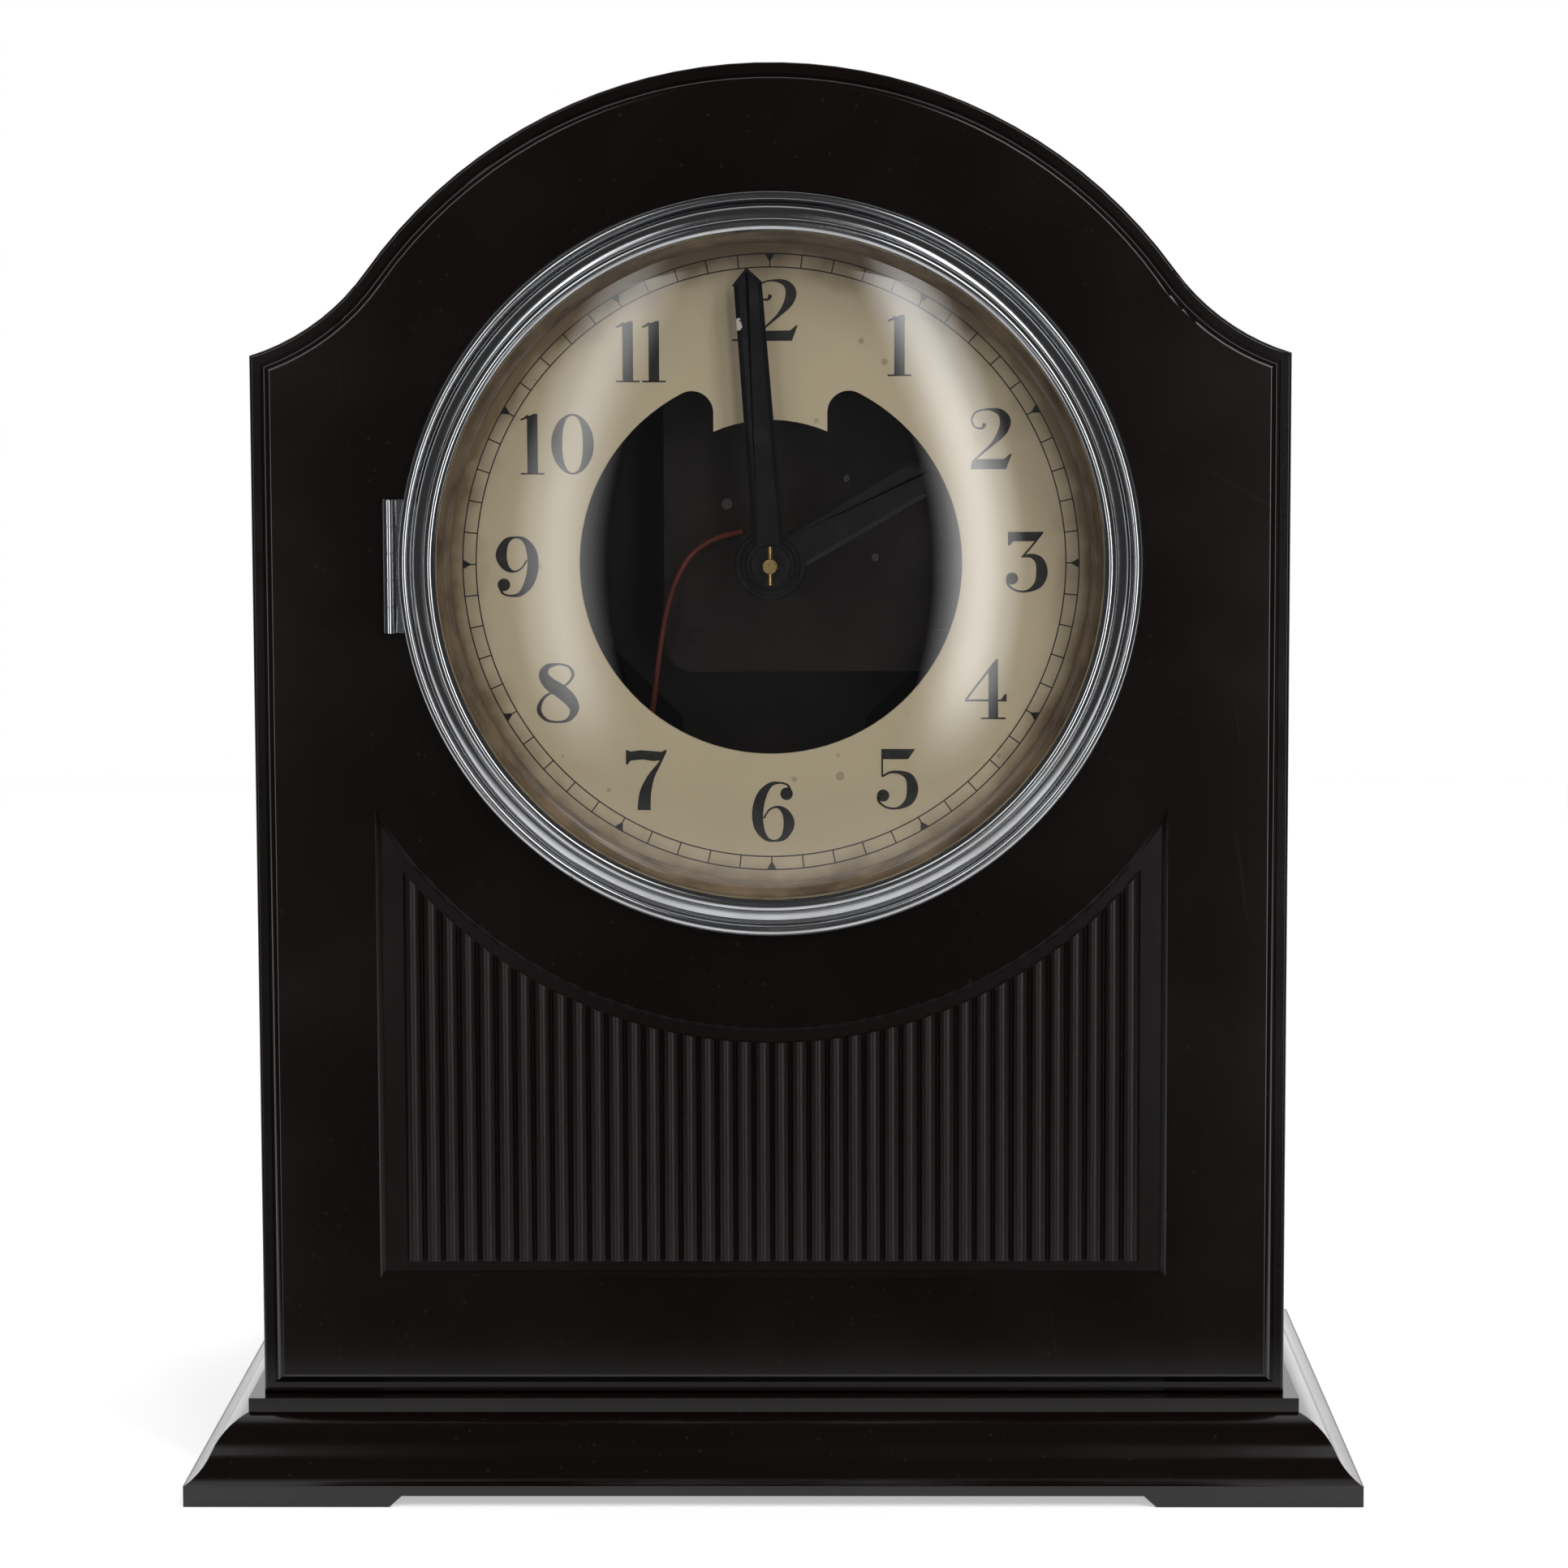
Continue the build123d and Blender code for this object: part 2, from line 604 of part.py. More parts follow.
def plinth():
    """Moulded plinth with its ogee on three sides, its deck and four corner feet."""
    reach = PLINTH_WIDTH / 2
    crown = HALF + PLINTH_FILLET
    sides = ogee(1, reach, crown) + ogee(-1, reach, crown)
    sides += [Line((crown, PLINTH_HEIGHT), (-crown, PLINTH_HEIGHT)), Line((-reach, 0), (reach, 0))]
    depth = PLINTH_DEPTH / 2
    front_crown = PLINTH_FILLET - FACE_Y
    front = ogee(-1, depth, front_crown)
    front += [Line((-front_crown, PLINTH_HEIGHT), (depth, PLINTH_HEIGHT)),
              Line((depth, PLINTH_HEIGHT), (depth, 0))]
    front += [Line((depth, 0), (-depth, 0))]
    along = slab(make_face(sides), -depth, depth)
    across = extrude(Plane.YZ.offset(-reach) * make_face(front), amount=PLINTH_WIDTH)
    base = along & across
    for inset, top in ((SKIRT_LOW, SKIRT_STEP), (SKIRT_HIGH, DECK_LOW)):
        base -= block(around(0, PLINTH_WIDTH - 2 * inset), around(0, PLINTH_DEPTH - 2 * inset), (-CUT, top))
    base -= slab(foot_gap(reach, FOOT_WIDTH), -depth - CUT, depth + CUT)
    base -= extrude(Plane.YZ.offset(-reach - CUT) * foot_gap(depth, FOOT_DEPTH),
                    amount=PLINTH_WIDTH + 2 * CUT)
    stand, magnet, clip = deck_screw_places()
    for place in boss_places() + stand + magnet + clip:
        base -= post(place, WOOD_SCREW[0] + FIT, DECK_LOW - CUT, PLINTH_HEIGHT + CUT)
    return base


def screw_up(place, screw, seat, length):
    """Screw whose head hangs under a seat and whose shank goes up."""
    return post(place, screw[1], seat - screw[2], seat) + post(place, screw[0], seat, seat + length)


def screw_down(place, screw, seat, length):
    """Screw whose slotted head stands on a seat and whose shank goes down."""
    head = post(place, screw[1], seat, seat + screw[2])
    slot = block(around(place[0], 2 * screw[1] + CUT), around(place[1], screw[0] / 2),
                 (seat + screw[2] / 2, seat + CUT + screw[2]))
    return head - slot + post(place, screw[0], seat - length, seat)


def screw_back(place, screw, seat, length):
    """Screw whose head is behind a seat and whose shank goes to the front."""
    head = disc(place, screw[1], seat, seat + screw[2])
    slot = slab(Pos(*place) * Rectangle(2 * screw[1] + CUT, screw[0] / 2), seat + screw[2] / 2,
                seat + screw[2] + CUT)
    return head - slot + disc(place, screw[0], seat - length, seat)


def screw_front(place, screw, seat, length):
    """Screw whose head is in front of a seat and whose shank goes to the back."""
    head = disc(place, screw[1], seat - screw[2], seat)
    slot = slab(Pos(*place) * Rectangle(2 * screw[1] + CUT, screw[0] / 2), seat - screw[2] - CUT,
                seat - screw[2] / 2)
    return head - slot + disc(place, screw[0], seat, seat + length)


def case_screws():
    return group([screw_up(place, WOOD_SCREW, DECK_LOW, DECK + BOSS_HEIGHT - WALL)
                  for place in boss_places()])


def bezel_ring():
    """Plated bezel with an outer roll, a raised torus and an inner bead that holds the glass."""
    socket = GLASS_RADIUS + FIT
    flange = socket + BEZEL_SHEET
    back = BEZEL_RADIUS - BEZEL_SHEET
    groove = BEZEL_GROOVE_RADIUS
    torus = BEZEL_TORUS_RADIUS
    bead = (torus + BEZEL_LIP_RADIUS) / 2
    corners = [
        ahead(groove, BEZEL_GROOVE), ahead(BEZEL_RADIUS, BEZEL_ROLL[0]), ahead(BEZEL_RADIUS, 0),
        ahead(back, 0),
        ahead(back, BEZEL_SHEET), ahead(groove + BEZEL_SHEET / 2, BEZEL_SHEET),
        ahead(torus + BEZEL_SHEET, BEZEL_TORUS - 3 * BEZEL_SHEET),
        ahead(torus + BEZEL_SHEET, 0), ahead(flange, 0), ahead(flange, -BEZEL_FLANGE),
        ahead(socket, -BEZEL_FLANGE),
        ahead(socket, glass_rise(BEZEL_LIP_RADIUS) + FIT),
        ahead(BEZEL_LIP_RADIUS, glass_rise(BEZEL_LIP_RADIUS) + FIT),
        ahead(BEZEL_LIP_RADIUS, BEZEL_LIP), ahead(torus, BEZEL_TORUS),
    ]
    edges = [Line(start, end) for start, end in zip(corners[1:-2], corners[2:-1])]
    roll = ((BEZEL_RADIUS + groove) / 2, BEZEL_ROLL[1])
    swell = ((groove + torus) / 2 + BEZEL_SHEET / 2, BEZEL_TORUS - BEZEL_SHEET)
    edges.append(ThreePointArc(corners[0], ahead(*roll), corners[1]))
    edges.append(ThreePointArc(corners[-2], ahead(bead, BEZEL_BEAD), corners[-1]))
    edges.append(ThreePointArc(corners[-1], ahead(*swell), corners[0]))
    return lathe(edges)


def glass_rise(radius):
    """Height of the glass's outer face above the case's face: flat in the middle, steep at the rim."""
    share = (radius / GLASS_RADIUS) ** 2
    return GLASS_EDGE + GLASS_SAG * (1 - (1 - GLASS_STEEPNESS) * share - GLASS_STEEPNESS * share**2)


def glass_curve(lowered):
    """Line of a glass face from its middle to its edge, the same as glass_rise but lowered."""
    middle = GLASS_EDGE + GLASS_SAG - lowered
    gentle = (1 - GLASS_STEEPNESS) * GLASS_SAG
    rises = (middle, middle, middle - gentle / 6, middle - gentle / 2, GLASS_EDGE - lowered)
    return Bezier(*[ahead(GLASS_RADIUS * step / 4, rise) for step, rise in enumerate(rises)])


def bezel_glass():
    """Domed glass."""
    front = glass_curve(0)
    back = glass_curve(GLASS_THICKNESS)
    return lathe([front, Line(front @ 1, back @ 1), back, Line(back @ 0, front @ 0)])


def sight_ring():
    """Sloped ring behind the glass, which holds it in the bezel."""
    front = GLASS_EDGE - GLASS_THICKNESS - FIT
    back = SIGHT_DIAL_GAP - FRONT_WALL
    outer = GLASS_RADIUS
    corners = [
        ahead(SIGHT_FRONT_RADIUS, front), ahead(outer, front), ahead(outer, -BEZEL_FLANGE),
        ahead(SIGHT_REAR_RADIUS + SIGHT_SHEET, back), ahead(SIGHT_REAR_RADIUS, back),
    ]
    return lathe([Line(start, end) for start, end in zip(corners, corners[1:] + corners[:1])])


def knuckles(axis, low, length, wanted, barrel, pin):
    """Barrels of one hinge leaf: those of the wanted numbers, counted from the bottom."""
    barrels = []
    for number in wanted:
        start = low + number * length + KNUCKLE_GAP
        end = low + (number + 1) * length - KNUCKLE_GAP
        barrels.append(post(axis, barrel, start, end) - post(axis, pin + FIT, start - CUT, end + CUT))
    return barrels


def leaf_end():
    """Inner edge of both bezel hinge leaves."""
    return -OPENING_RADIUS - LEAF_GAP


def bezel_hinge_leaf():
    """Leaf under the bezel with the outer and middle knuckles."""
    y = (FACE_Y, FACE_Y + LEAF)
    leaf = block((BEZEL_AXIS[0] + BARREL + LEAF_GAP, leaf_end()), y, around(DIAL_HEIGHT, KNUCKLES * KNUCKLE))
    for number in range(0, KNUCKLES, 2):
        low = BEZEL_HINGE_LOW + number * KNUCKLE
        leaf += block((BEZEL_AXIS[0], leaf_end()), y, (low + KNUCKLE_GAP, low + KNUCKLE - KNUCKLE_GAP))
    leaf += knuckles(BEZEL_AXIS, BEZEL_HINGE_LOW, KNUCKLE, range(0, KNUCKLES, 2), BARREL, HINGE_PIN)
    return leaf - post(BEZEL_AXIS, HINGE_PIN + FIT, BEZEL_HINGE_LOW, BEZEL_HINGE_LOW + KNUCKLES * KNUCKLE)


def bezel_hinge_case_leaf():
    """Leaf on the case, let into the face under the bezel, with the two knuckles between."""
    floor = FACE_Y + POCKET_DEPTH
    leaf = block((BEZEL_AXIS[0] - BARREL, leaf_end()), (floor - LEAF, floor),
                 around(DIAL_HEIGHT, KNUCKLES * KNUCKLE))
    for number in range(1, KNUCKLES, 2):
        low = BEZEL_HINGE_LOW + number * KNUCKLE
        leaf += block((BEZEL_AXIS[0] - BARREL, BEZEL_AXIS[0] + LEAF_GAP), (BEZEL_AXIS[1], floor),
                      (low + KNUCKLE_GAP, low + KNUCKLE - KNUCKLE_GAP))
    leaf += knuckles(BEZEL_AXIS, BEZEL_HINGE_LOW, KNUCKLE, range(1, KNUCKLES, 2), BARREL, HINGE_PIN)
    for place in hinge_screw_places():
        leaf -= disc(place, TINY_SCREW[1] + FIT, floor - LEAF - CUT, floor + CUT)
    return leaf - post(BEZEL_AXIS, HINGE_PIN + FIT, BEZEL_HINGE_LOW, BEZEL_HINGE_LOW + KNUCKLES * KNUCKLE)


def bezel_hinge_pin():
    return post(BEZEL_AXIS, HINGE_PIN, BEZEL_HINGE_LOW, BEZEL_HINGE_LOW + KNUCKLES * KNUCKLE)


def bezel_hinge_screws():
    floor = FACE_Y + POCKET_DEPTH
    return group([screw_front(place, TINY_SCREW, floor, FRONT_WALL / 3) for place in hinge_screw_places()])


def dial_plate():
    """Dial with an open centre, into which a tongue hangs from above."""
    window = Circle(DIAL_WINDOW)
    tongue = Pos(0, DIAL_WINDOW) * Rectangle(TONGUE_WIDTH, 2 * DIAL_WINDOW) - Circle(TONGUE_RADIUS)
    window -= tongue
    top = window.vertices().sort_by(Axis.Y)[-2:]
    window = fillet(top, TONGUE_EAR)
    dial = slab(Pos(*DIAL_CENTRE) * (Circle(DIAL_RADIUS) - window), INNER_Y, DIAL_BACK_Y)
    for place in dial_screw_places():
        dial -= disc(place, SMALL_SCREW[0] + FIT, INNER_Y - CUT, DIAL_BACK_Y + CUT)
    return dial


def dial_screws():
    length = DIAL_THICKNESS + FRONT_WALL / 2 - END_SHAKE
    return group([screw_back(place, SMALL_SCREW, DIAL_BACK_Y, length) for place in dial_screw_places()])


def hand(length, widths, point, boss, bore, angle, back):
    """Flat baton hand with a short point."""
    half = [(widths[0] / 2, 0), (widths[1] / 2, length - point), (HAND_TIP, length)]
    blade = outline(*half, *[(-x, z) for x, z in reversed(half)])
    shape = blade + Circle(boss) - Circle(bore)
    return slab(Pos(*DIAL_CENTRE) * Rot(0, 0, -angle) * shape, back - HAND_THICKNESS, back)


def minute_hand():
    bore = CANNON_PIPE + FIT
    return hand(MINUTE_LENGTH, MINUTE_WIDTHS, MINUTE_POINT, MINUTE_BOSS, bore, MINUTE_ANGLE, MINUTE_HAND_Y)


def hour_hand():
    bore = HOUR_PIPE + FIT
    return hand(HOUR_LENGTH, HOUR_WIDTHS, HOUR_POINT, HOUR_BOSS, bore, HOUR_ANGLE, HOUR_HAND_Y)


def toothed(teeth, module, toward):
    """Gear outline about the origin, with one tooth along an angle in degrees."""
    pitch = module * teeth / 2
    root = pitch - GEAR_ROOT * module
    tip = pitch + GEAR_TIP * module
    step = 360 / teeth
    corners = []
    for number in range(teeth):
        middle = toward + number * step
        for radius, share in ((root, -TOOTH_AT_ROOT), (tip, -TOOTH_AT_TIP), (tip, TOOTH_AT_TIP),
                              (root, TOOTH_AT_ROOT)):
            corners.append(polar((0, 0), radius, middle + share * step))
    return outline(*corners)


def crossed(rim):
    """Four windows between a wheel's hub, spokes and rim."""
    ring = Circle(rim - WHEEL_RIM) - Circle(WHEEL_HUB)
    return ring - Rectangle(SPOKE, 2 * rim) - Rectangle(2 * rim, SPOKE)


def wheel(centre, teeth, module, toward, bore, front):
    """Crossed-out wheel."""
    rim = module * (teeth / 2 - GEAR_ROOT)
    shape = toothed(teeth, module, toward) - crossed(rim) - Circle(bore)
    return slab(Pos(*centre) * shape, front, front + WHEEL)


def bearing(start, end):
    """Angle from one arbor to another."""
    return degrees(atan2(end[1] - start[1], end[0] - start[0]))


def arbor(centre, teeth, module, toward, front):
    """Arbor with its pinion leaves and two pivots."""
    leaves = slab(Pos(*centre) * toothed(teeth, module, toward), front, front + PINION)
    shaft = disc(centre, ARBOR, PLATE_REAR_Y + END_SHAKE, STAND_Y - END_SHAKE)
    pivots = disc(centre, PIVOT, PLATE_Y + END_SHAKE, STAND_REAR_Y - END_SHAKE)
    return leaves + shaft + pivots


def cannon_pinion():
    """Cannon pinion, whose pipe carries the minute hand."""
    section = toothed(CANNON_TEETH, MOTION_MODULE, MOTION_ANGLE) - Circle(CENTRE_ARBOR + FIT)
    leaves = Pos(*DIAL_CENTRE) * section
    end = MINUTE_WHEEL_Y + WHEEL + END_SHAKE
    tube = pipe(DIAL_CENTRE, CANNON_PIPE, CENTRE_ARBOR + FIT, MINUTE_HAND_Y - HAND_THICKNESS, end)
    return slab(leaves, MINUTE_WHEEL_Y - END_SHAKE, end) + tube


def hour_wheel():
    """Hour wheel on the pipe that carries the hour hand."""
    bore = CANNON_PIPE + FIT
    toward = MOTION_ANGLE + 180 / HOUR_WHEEL_TEETH
    disk = toothed(HOUR_WHEEL_TEETH, HOUR_MODULE, toward) - Circle(bore)
    tube = pipe(DIAL_CENTRE, HOUR_PIPE, bore, HOUR_HAND_Y - HAND_THICKNESS, HOUR_WHEEL_Y + WHEEL)
    return slab(Pos(*DIAL_CENTRE) * disk, HOUR_WHEEL_Y, HOUR_WHEEL_Y + WHEEL) + tube


def minute_wheel():
    """Minute wheel and its pinion, which turn on a stud behind the front plate."""
    toward = MOTION_ANGLE + 180
    bore = Circle(ARBOR + FIT)
    big = toothed(MINUTE_WHEEL_TEETH, MOTION_MODULE, toward + 180 / MINUTE_WHEEL_TEETH) - bore
    small = toothed(MINUTE_PINION_TEETH, HOUR_MODULE, toward) - bore
    front = HOUR_WHEEL_Y - END_SHAKE
    return (slab(Pos(*MINUTE_STUD) * big, MINUTE_WHEEL_Y, MINUTE_WHEEL_Y + WHEEL)
            + slab(Pos(*MINUTE_STUD) * small, front, MINUTE_WHEEL_Y))


def centre_arbor():
    """Arbor of the centre wheel, which ends in front of the hands."""
    shaft = disc(DIAL_CENTRE, CENTRE_ARBOR, ARBOR_TIP_Y, STAND_Y - END_SHAKE)
    pin = Pos(0, taper_pin_y(), DIAL_HEIGHT) * Cylinder(TAPER_PIN + FIT, TAPER_PIN_LENGTH)
    return shaft + disc(DIAL_CENTRE, PIVOT, STAND_Y - END_SHAKE - CUT, STAND_REAR_Y - END_SHAKE) - pin


def taper_pin_y():
    return MINUTE_HAND_Y - HAND_THICKNESS - HAND_WASHER_THICKNESS - TAPER_PIN - FIT


def taper_pin():
    return Pos(0, taper_pin_y(), DIAL_HEIGHT) * Cylinder(TAPER_PIN, TAPER_PIN_LENGTH)


def hand_washer():
    """Domed washer between the minute hand and the pin."""
    back = MINUTE_HAND_Y - HAND_THICKNESS
    washer = pipe(DIAL_CENTRE, HAND_WASHER, CENTRE_ARBOR + FIT, back - HAND_WASHER_THICKNESS, back)
    return fillet(washer.edges().group_by(Axis.Y)[0].sort_by(SortBy.RADIUS)[-1:], HAND_WASHER_THICKNESS / 2)


def centre_wheel():
    toward = THIRD_ANGLE + 180 / CENTRE_WHEEL_TEETH
    return wheel(DIAL_CENTRE, CENTRE_WHEEL_TEETH, TRAIN_MODULE, toward, CENTRE_ARBOR + FIT, CENTRE_WHEEL_Y)


def third_pinion():
    front = CENTRE_WHEEL_Y + WHEEL / 2 - PINION / 2
    return arbor(THIRD_CENTRE, TRAIN_PINION_TEETH, TRAIN_MODULE, THIRD_ANGLE + 180, front)


def third_wheel():
    toward = RATCHET_ANGLE + 180 / THIRD_WHEEL_TEETH
    return wheel(THIRD_CENTRE, THIRD_WHEEL_TEETH, TRAIN_MODULE, toward, ARBOR + FIT, THIRD_WHEEL_Y)


def ratchet_pinion():
    front = THIRD_WHEEL_Y + WHEEL / 2 - PINION / 2
    return arbor(RATCHET_CENTRE, TRAIN_PINION_TEETH, TRAIN_MODULE, RATCHET_ANGLE + 180, front)


def ratchet_wheel():
    """Wheel of saw teeth that the pawl pushes over the top."""
    step = 360 / RATCHET_TEETH
    corners = []
    for number in range(RATCHET_TEETH):
        angle = 90 + number * step
        corners.append(polar((0, 0), RATCHET_RADIUS, angle))
        corners.append(polar((0, 0), RATCHET_RADIUS - RATCHET_DEPTH, angle + 0.1 * step))
    shape = outline(*corners) - crossed(RATCHET_RADIUS - RATCHET_DEPTH) - Circle(ARBOR + FIT)
    return slab(Pos(*RATCHET_CENTRE) * shape, RATCHET_Y, RATCHET_Y + WHEEL)


def pillar_places():
    return [(x, z) for x in (PLATE_LEFT + PILLAR_INSET, PLATE_RIGHT - PILLAR_INSET)
            for z in (PLATE_LOW + PILLAR_INSET, PLATE_HIGH - PILLAR_INSET)]


def front_plate():
    """Front plate of the movement."""
    size = (PLATE_RIGHT - PLATE_LEFT, PLATE_HIGH - PLATE_LOW)
    middle = ((PLATE_RIGHT + PLATE_LEFT) / 2, (PLATE_HIGH + PLATE_LOW) / 2)
    shape = Pos(*middle) * RectangleRounded(*size, PLATE_ROUND)
    shape -= Pos(*DIAL_CENTRE) * Circle(HOUR_PIPE + FIT)
    shape -= Pos(*MINUTE_STUD) * Circle(ARBOR + FIT)
    shape -= Pos(*TERMINAL_RED) * Circle(SMALL_SCREW[0] + FIT)
    for place in (THIRD_CENTRE, RATCHET_CENTRE):
        shape -= Pos(*place) * Circle(PIVOT + FIT)
    for place in pillar_places():
        shape -= Pos(*place) * Circle(SMALL_SCREW[0] + FIT)
    return slab(shape, PLATE_Y, PLATE_REAR_Y)


def stand_plate():
    """Tall back plate of the movement, on a foot that is screwed to the deck."""
    head = STAND_WIDTH / 2
    neck = STAND_COLUMN / 2
    low = PLINTH_HEIGHT
    shape = outline((-neck, low), (neck, low), (neck, STAND_SHOULDER), (head, STAND_SHOULDER + head - neck),
                    (head, STAND_TOP), (-head, STAND_TOP), (-head, STAND_SHOULDER + head - neck),
                    (-neck, STAND_SHOULDER))
    shape = fillet(shape.vertices().sort_by(Axis.Y)[-2:], PLATE_ROUND)
    for place in (DIAL_CENTRE, THIRD_CENTRE, RATCHET_CENTRE):
        shape -= Pos(*place) * Circle(PIVOT + FIT)
    for place in pillar_places() + [TERMINAL_BLACK]:
        shape -= Pos(*place) * Circle(SMALL_SCREW[0] + FIT)
    shape -= Pos(*CLICK_CENTRE) * Circle(ARBOR + FIT)
    plate = slab(shape, STAND_Y, STAND_REAR_Y)
    plate += block(around(0, STAND_FOOT_WIDTH), (STAND_Y - STAND_FOOT, STAND_REAR_Y), (low, low + FOOT_PLATE))
    plate += disc(FORK_CENTRE, FORK_BUSH, STAND_REAR_Y, FORK_Y - END_SHAKE)
    plate -= disc(FORK_CENTRE, FORK_ARBOR + FIT, STAND_Y - CUT, FORK_Y + CUT)
    for place in deck_screw_places()[0]:
        plate -= post(place, WOOD_SCREW[0] + FIT, low - CUT, low + FOOT_PLATE + CUT)
    return plate


def plate_pillars():
    bore = SMALL_SCREW[0] + FIT
    return group([pipe(place, PILLAR, bore, PLATE_REAR_Y, STAND_Y) for place in pillar_places()])


def pillar_screws():
    reach = PLATE_GAP / 3
    fronts = [screw_front(place, SMALL_SCREW, PLATE_Y, FRONT_PLATE + reach) for place in pillar_places()]
    backs = [screw_back(place, SMALL_SCREW, STAND_REAR_Y, STAND_THICKNESS + reach)
             for place in pillar_places()]
    return group(fronts + backs)


def plate_studs():
    """Stud of the minute wheel on the front plate, and stud of the click on the stand."""
    minute = disc(MINUTE_STUD, ARBOR, PLATE_Y, MINUTE_WHEEL_Y + WHEEL + END_SHAKE)
    click = disc(CLICK_CENTRE, ARBOR, RATCHET_Y - END_SHAKE, STAND_REAR_Y)
    click += disc(CLICK_CENTRE, CLICK_EYE, RATCHET_Y - END_SHAKE - WHEEL / 2, RATCHET_Y - END_SHAKE)
    return group([minute, click])


def deck_screws():
    stand, magnet, clip = deck_screw_places()
    seats = [(place, FOOT_PLATE) for place in stand + magnet] + [(place, CLIP_BAND) for place in clip]
    return group([screw_down(place, WOOD_SCREW, PLINTH_HEIGHT + thick, thick + DECK)
                  for place, thick in seats])


def terminal_screws():
    """Screws that hold the leads' ends to the plates."""
    red = screw_front(TERMINAL_RED, SMALL_SCREW, PLATE_Y, FRONT_PLATE)
    black = screw_back(TERMINAL_BLACK, SMALL_SCREW, STAND_REAR_Y, STAND_THICKNESS)
    return group([red, black])


def suspension_cock():
    """Bracket at the top of the stand, slit for the suspension strip."""
    high = (STAND_TOP - COCK_HEIGHT + 2 * SUSPENSION_GAP + END_SHAKE, STAND_TOP)
    cock = block(around(0, COCK_WIDTH), (STAND_REAR_Y, PENDULUM_Y + COCK_TAIL), high)
    slit = block(around(0, SUSPENSION_STRIP + 2 * FIT),
                 (PENDULUM_Y - SUSPENSION_WIDTH / 2 - FIT, PENDULUM_Y + COCK_TAIL + CUT),
                 (high[0] - CUT, high[1] + CUT))
    return cock - slit


def suspension_spring():
    return block(around(0, SUSPENSION_STRIP), around(PENDULUM_Y, SUSPENSION_WIDTH),
                 (PIVOT_HEIGHT + SUSPENSION_GAP / 2, STAND_TOP))


def suspension_chops():
    """Brass block at the top of the pendulum."""
    top = PIVOT_HEIGHT - SUSPENSION_GAP
    chops = block(around(0, CHOPS[0]), around(PENDULUM_Y, CHOPS[1]), (top - CHOPS[2], top))
    chops = fillet(chops.edges().filter_by(Axis.Y), CORNER_ROUND)
    return chops - post((0, PENDULUM_Y), ROD + FIT, top - CHOPS[2] - CUT, top - CHOPS[2] / 2)


def pendulum_rod():
    high = PIVOT_HEIGHT - SUSPENSION_GAP - CHOPS[2] / 2
    return post((0, PENDULUM_Y), ROD, STRAP_TOP - STRAP_BOSS[1] + END_SHAKE, high)


def contact_height():
    return FORK_CENTRE[1] - FORK_DROP


def contact_pin():
    """Collar on the rod with the silver pin that works the fork."""
    radius, tall = CONTACT_COLLAR
    low = contact_height() - tall / 2
    collar = post((0, PENDULUM_Y), radius, low, low + tall)
    collar += disc((0, contact_height()), CONTACT_PIN, FORK_Y - 2 * END_SHAKE, PENDULUM_Y)
    return collar - post((0, PENDULUM_Y), ROD + FIT, low - CUT, low + tall + CUT)


def contact_fork():
    """Fork worked by the pendulum's pin, with its arbor and the crank that moves the pawl."""
    slot = CONTACT_PIN + FORK_PLAY
    low = contact_height() - FORK_REACH
    crotch = contact_height() + FORK_REACH
    outer = slot + FORK_ARM / 2
    x, z = FORK_CENTRE
    arm = outline((x - FORK_ARM / 2, z), (x - FORK_ARM / 2, crotch + FORK_ARM), (-outer, crotch),
                  (-outer, low),
                  (-slot, low), (-slot, crotch), (slot, crotch), (slot, low), (outer, low), (outer, crotch),
                  (x + FORK_ARM / 2, crotch + FORK_ARM), (x + FORK_ARM / 2, z))
    fork = slab(arm + Pos(x, z) * Circle(FORK_HUB), FORK_Y, FORK_Y + FORK_PLATE)
    fork += disc(FORK_CENTRE, FORK_ARBOR, CRANK_Y, FORK_Y)
    crank = Pos(x, z) * Circle(CRANK_EYE) + Pos(*CRANK_EYE_CENTRE) * Circle(CRANK_EYE)
    fork += slab(crank + Pos(x, z + CRANK / 2) * Rectangle(2 * CRANK_EYE, CRANK), CRANK_Y, CRANK_Y + WHEEL)
    return fork + disc(CRANK_EYE_CENTRE, PIVOT, RATCHET_Y - END_SHAKE, CRANK_Y)


def drive_pawl():
    """Pawl that lies over the top of the ratchet wheel."""
    x, z = CRANK_EYE_CENTRE
    tip = (RATCHET_CENTRE[0], RATCHET_CENTRE[1] + RATCHET_RADIUS + PAWL_HOVER)
    shape = outline((x, z - PAWL_WIDTH / 2), (x, z + PAWL_WIDTH / 2),
                    (tip[0] + PAWL_WIDTH / 3, z + PAWL_WIDTH / 2),
                    (tip[0] + PAWL_WIDTH / 3, tip[1]), (tip[0] - PAWL_WIDTH / 3, tip[1]),
                    (tip[0] - PAWL_WIDTH, z - PAWL_WIDTH / 2))
    shape = shape + Pos(x, z) * Circle(PAWL_WIDTH) - Pos(x, z) * Circle(PIVOT + FIT)
    return slab(shape, RATCHET_Y, RATCHET_Y + WHEEL)


def stop_click():
    """Click that keeps the ratchet wheel from running back."""
    tip = polar(RATCHET_CENTRE, RATCHET_RADIUS + PAWL_HOVER, CLICK_CONTACT_ANGLE)
    high = polar(tip, PAWL_WIDTH, CLICK_CONTACT_ANGLE)
    x, z = CLICK_CENTRE
    across = polar((0, 0), PAWL_WIDTH / 2, bearing(tip, CLICK_CENTRE) + 90)
    shape = outline((x + across[0], z + across[1]), tip, high, (x - across[0], z - across[1]))
    shape = shape + Pos(x, z) * Circle(CLICK_EYE) - Pos(x, z) * Circle(ARBOR + FIT)
    return slab(shape, RATCHET_Y, RATCHET_Y + WHEEL)


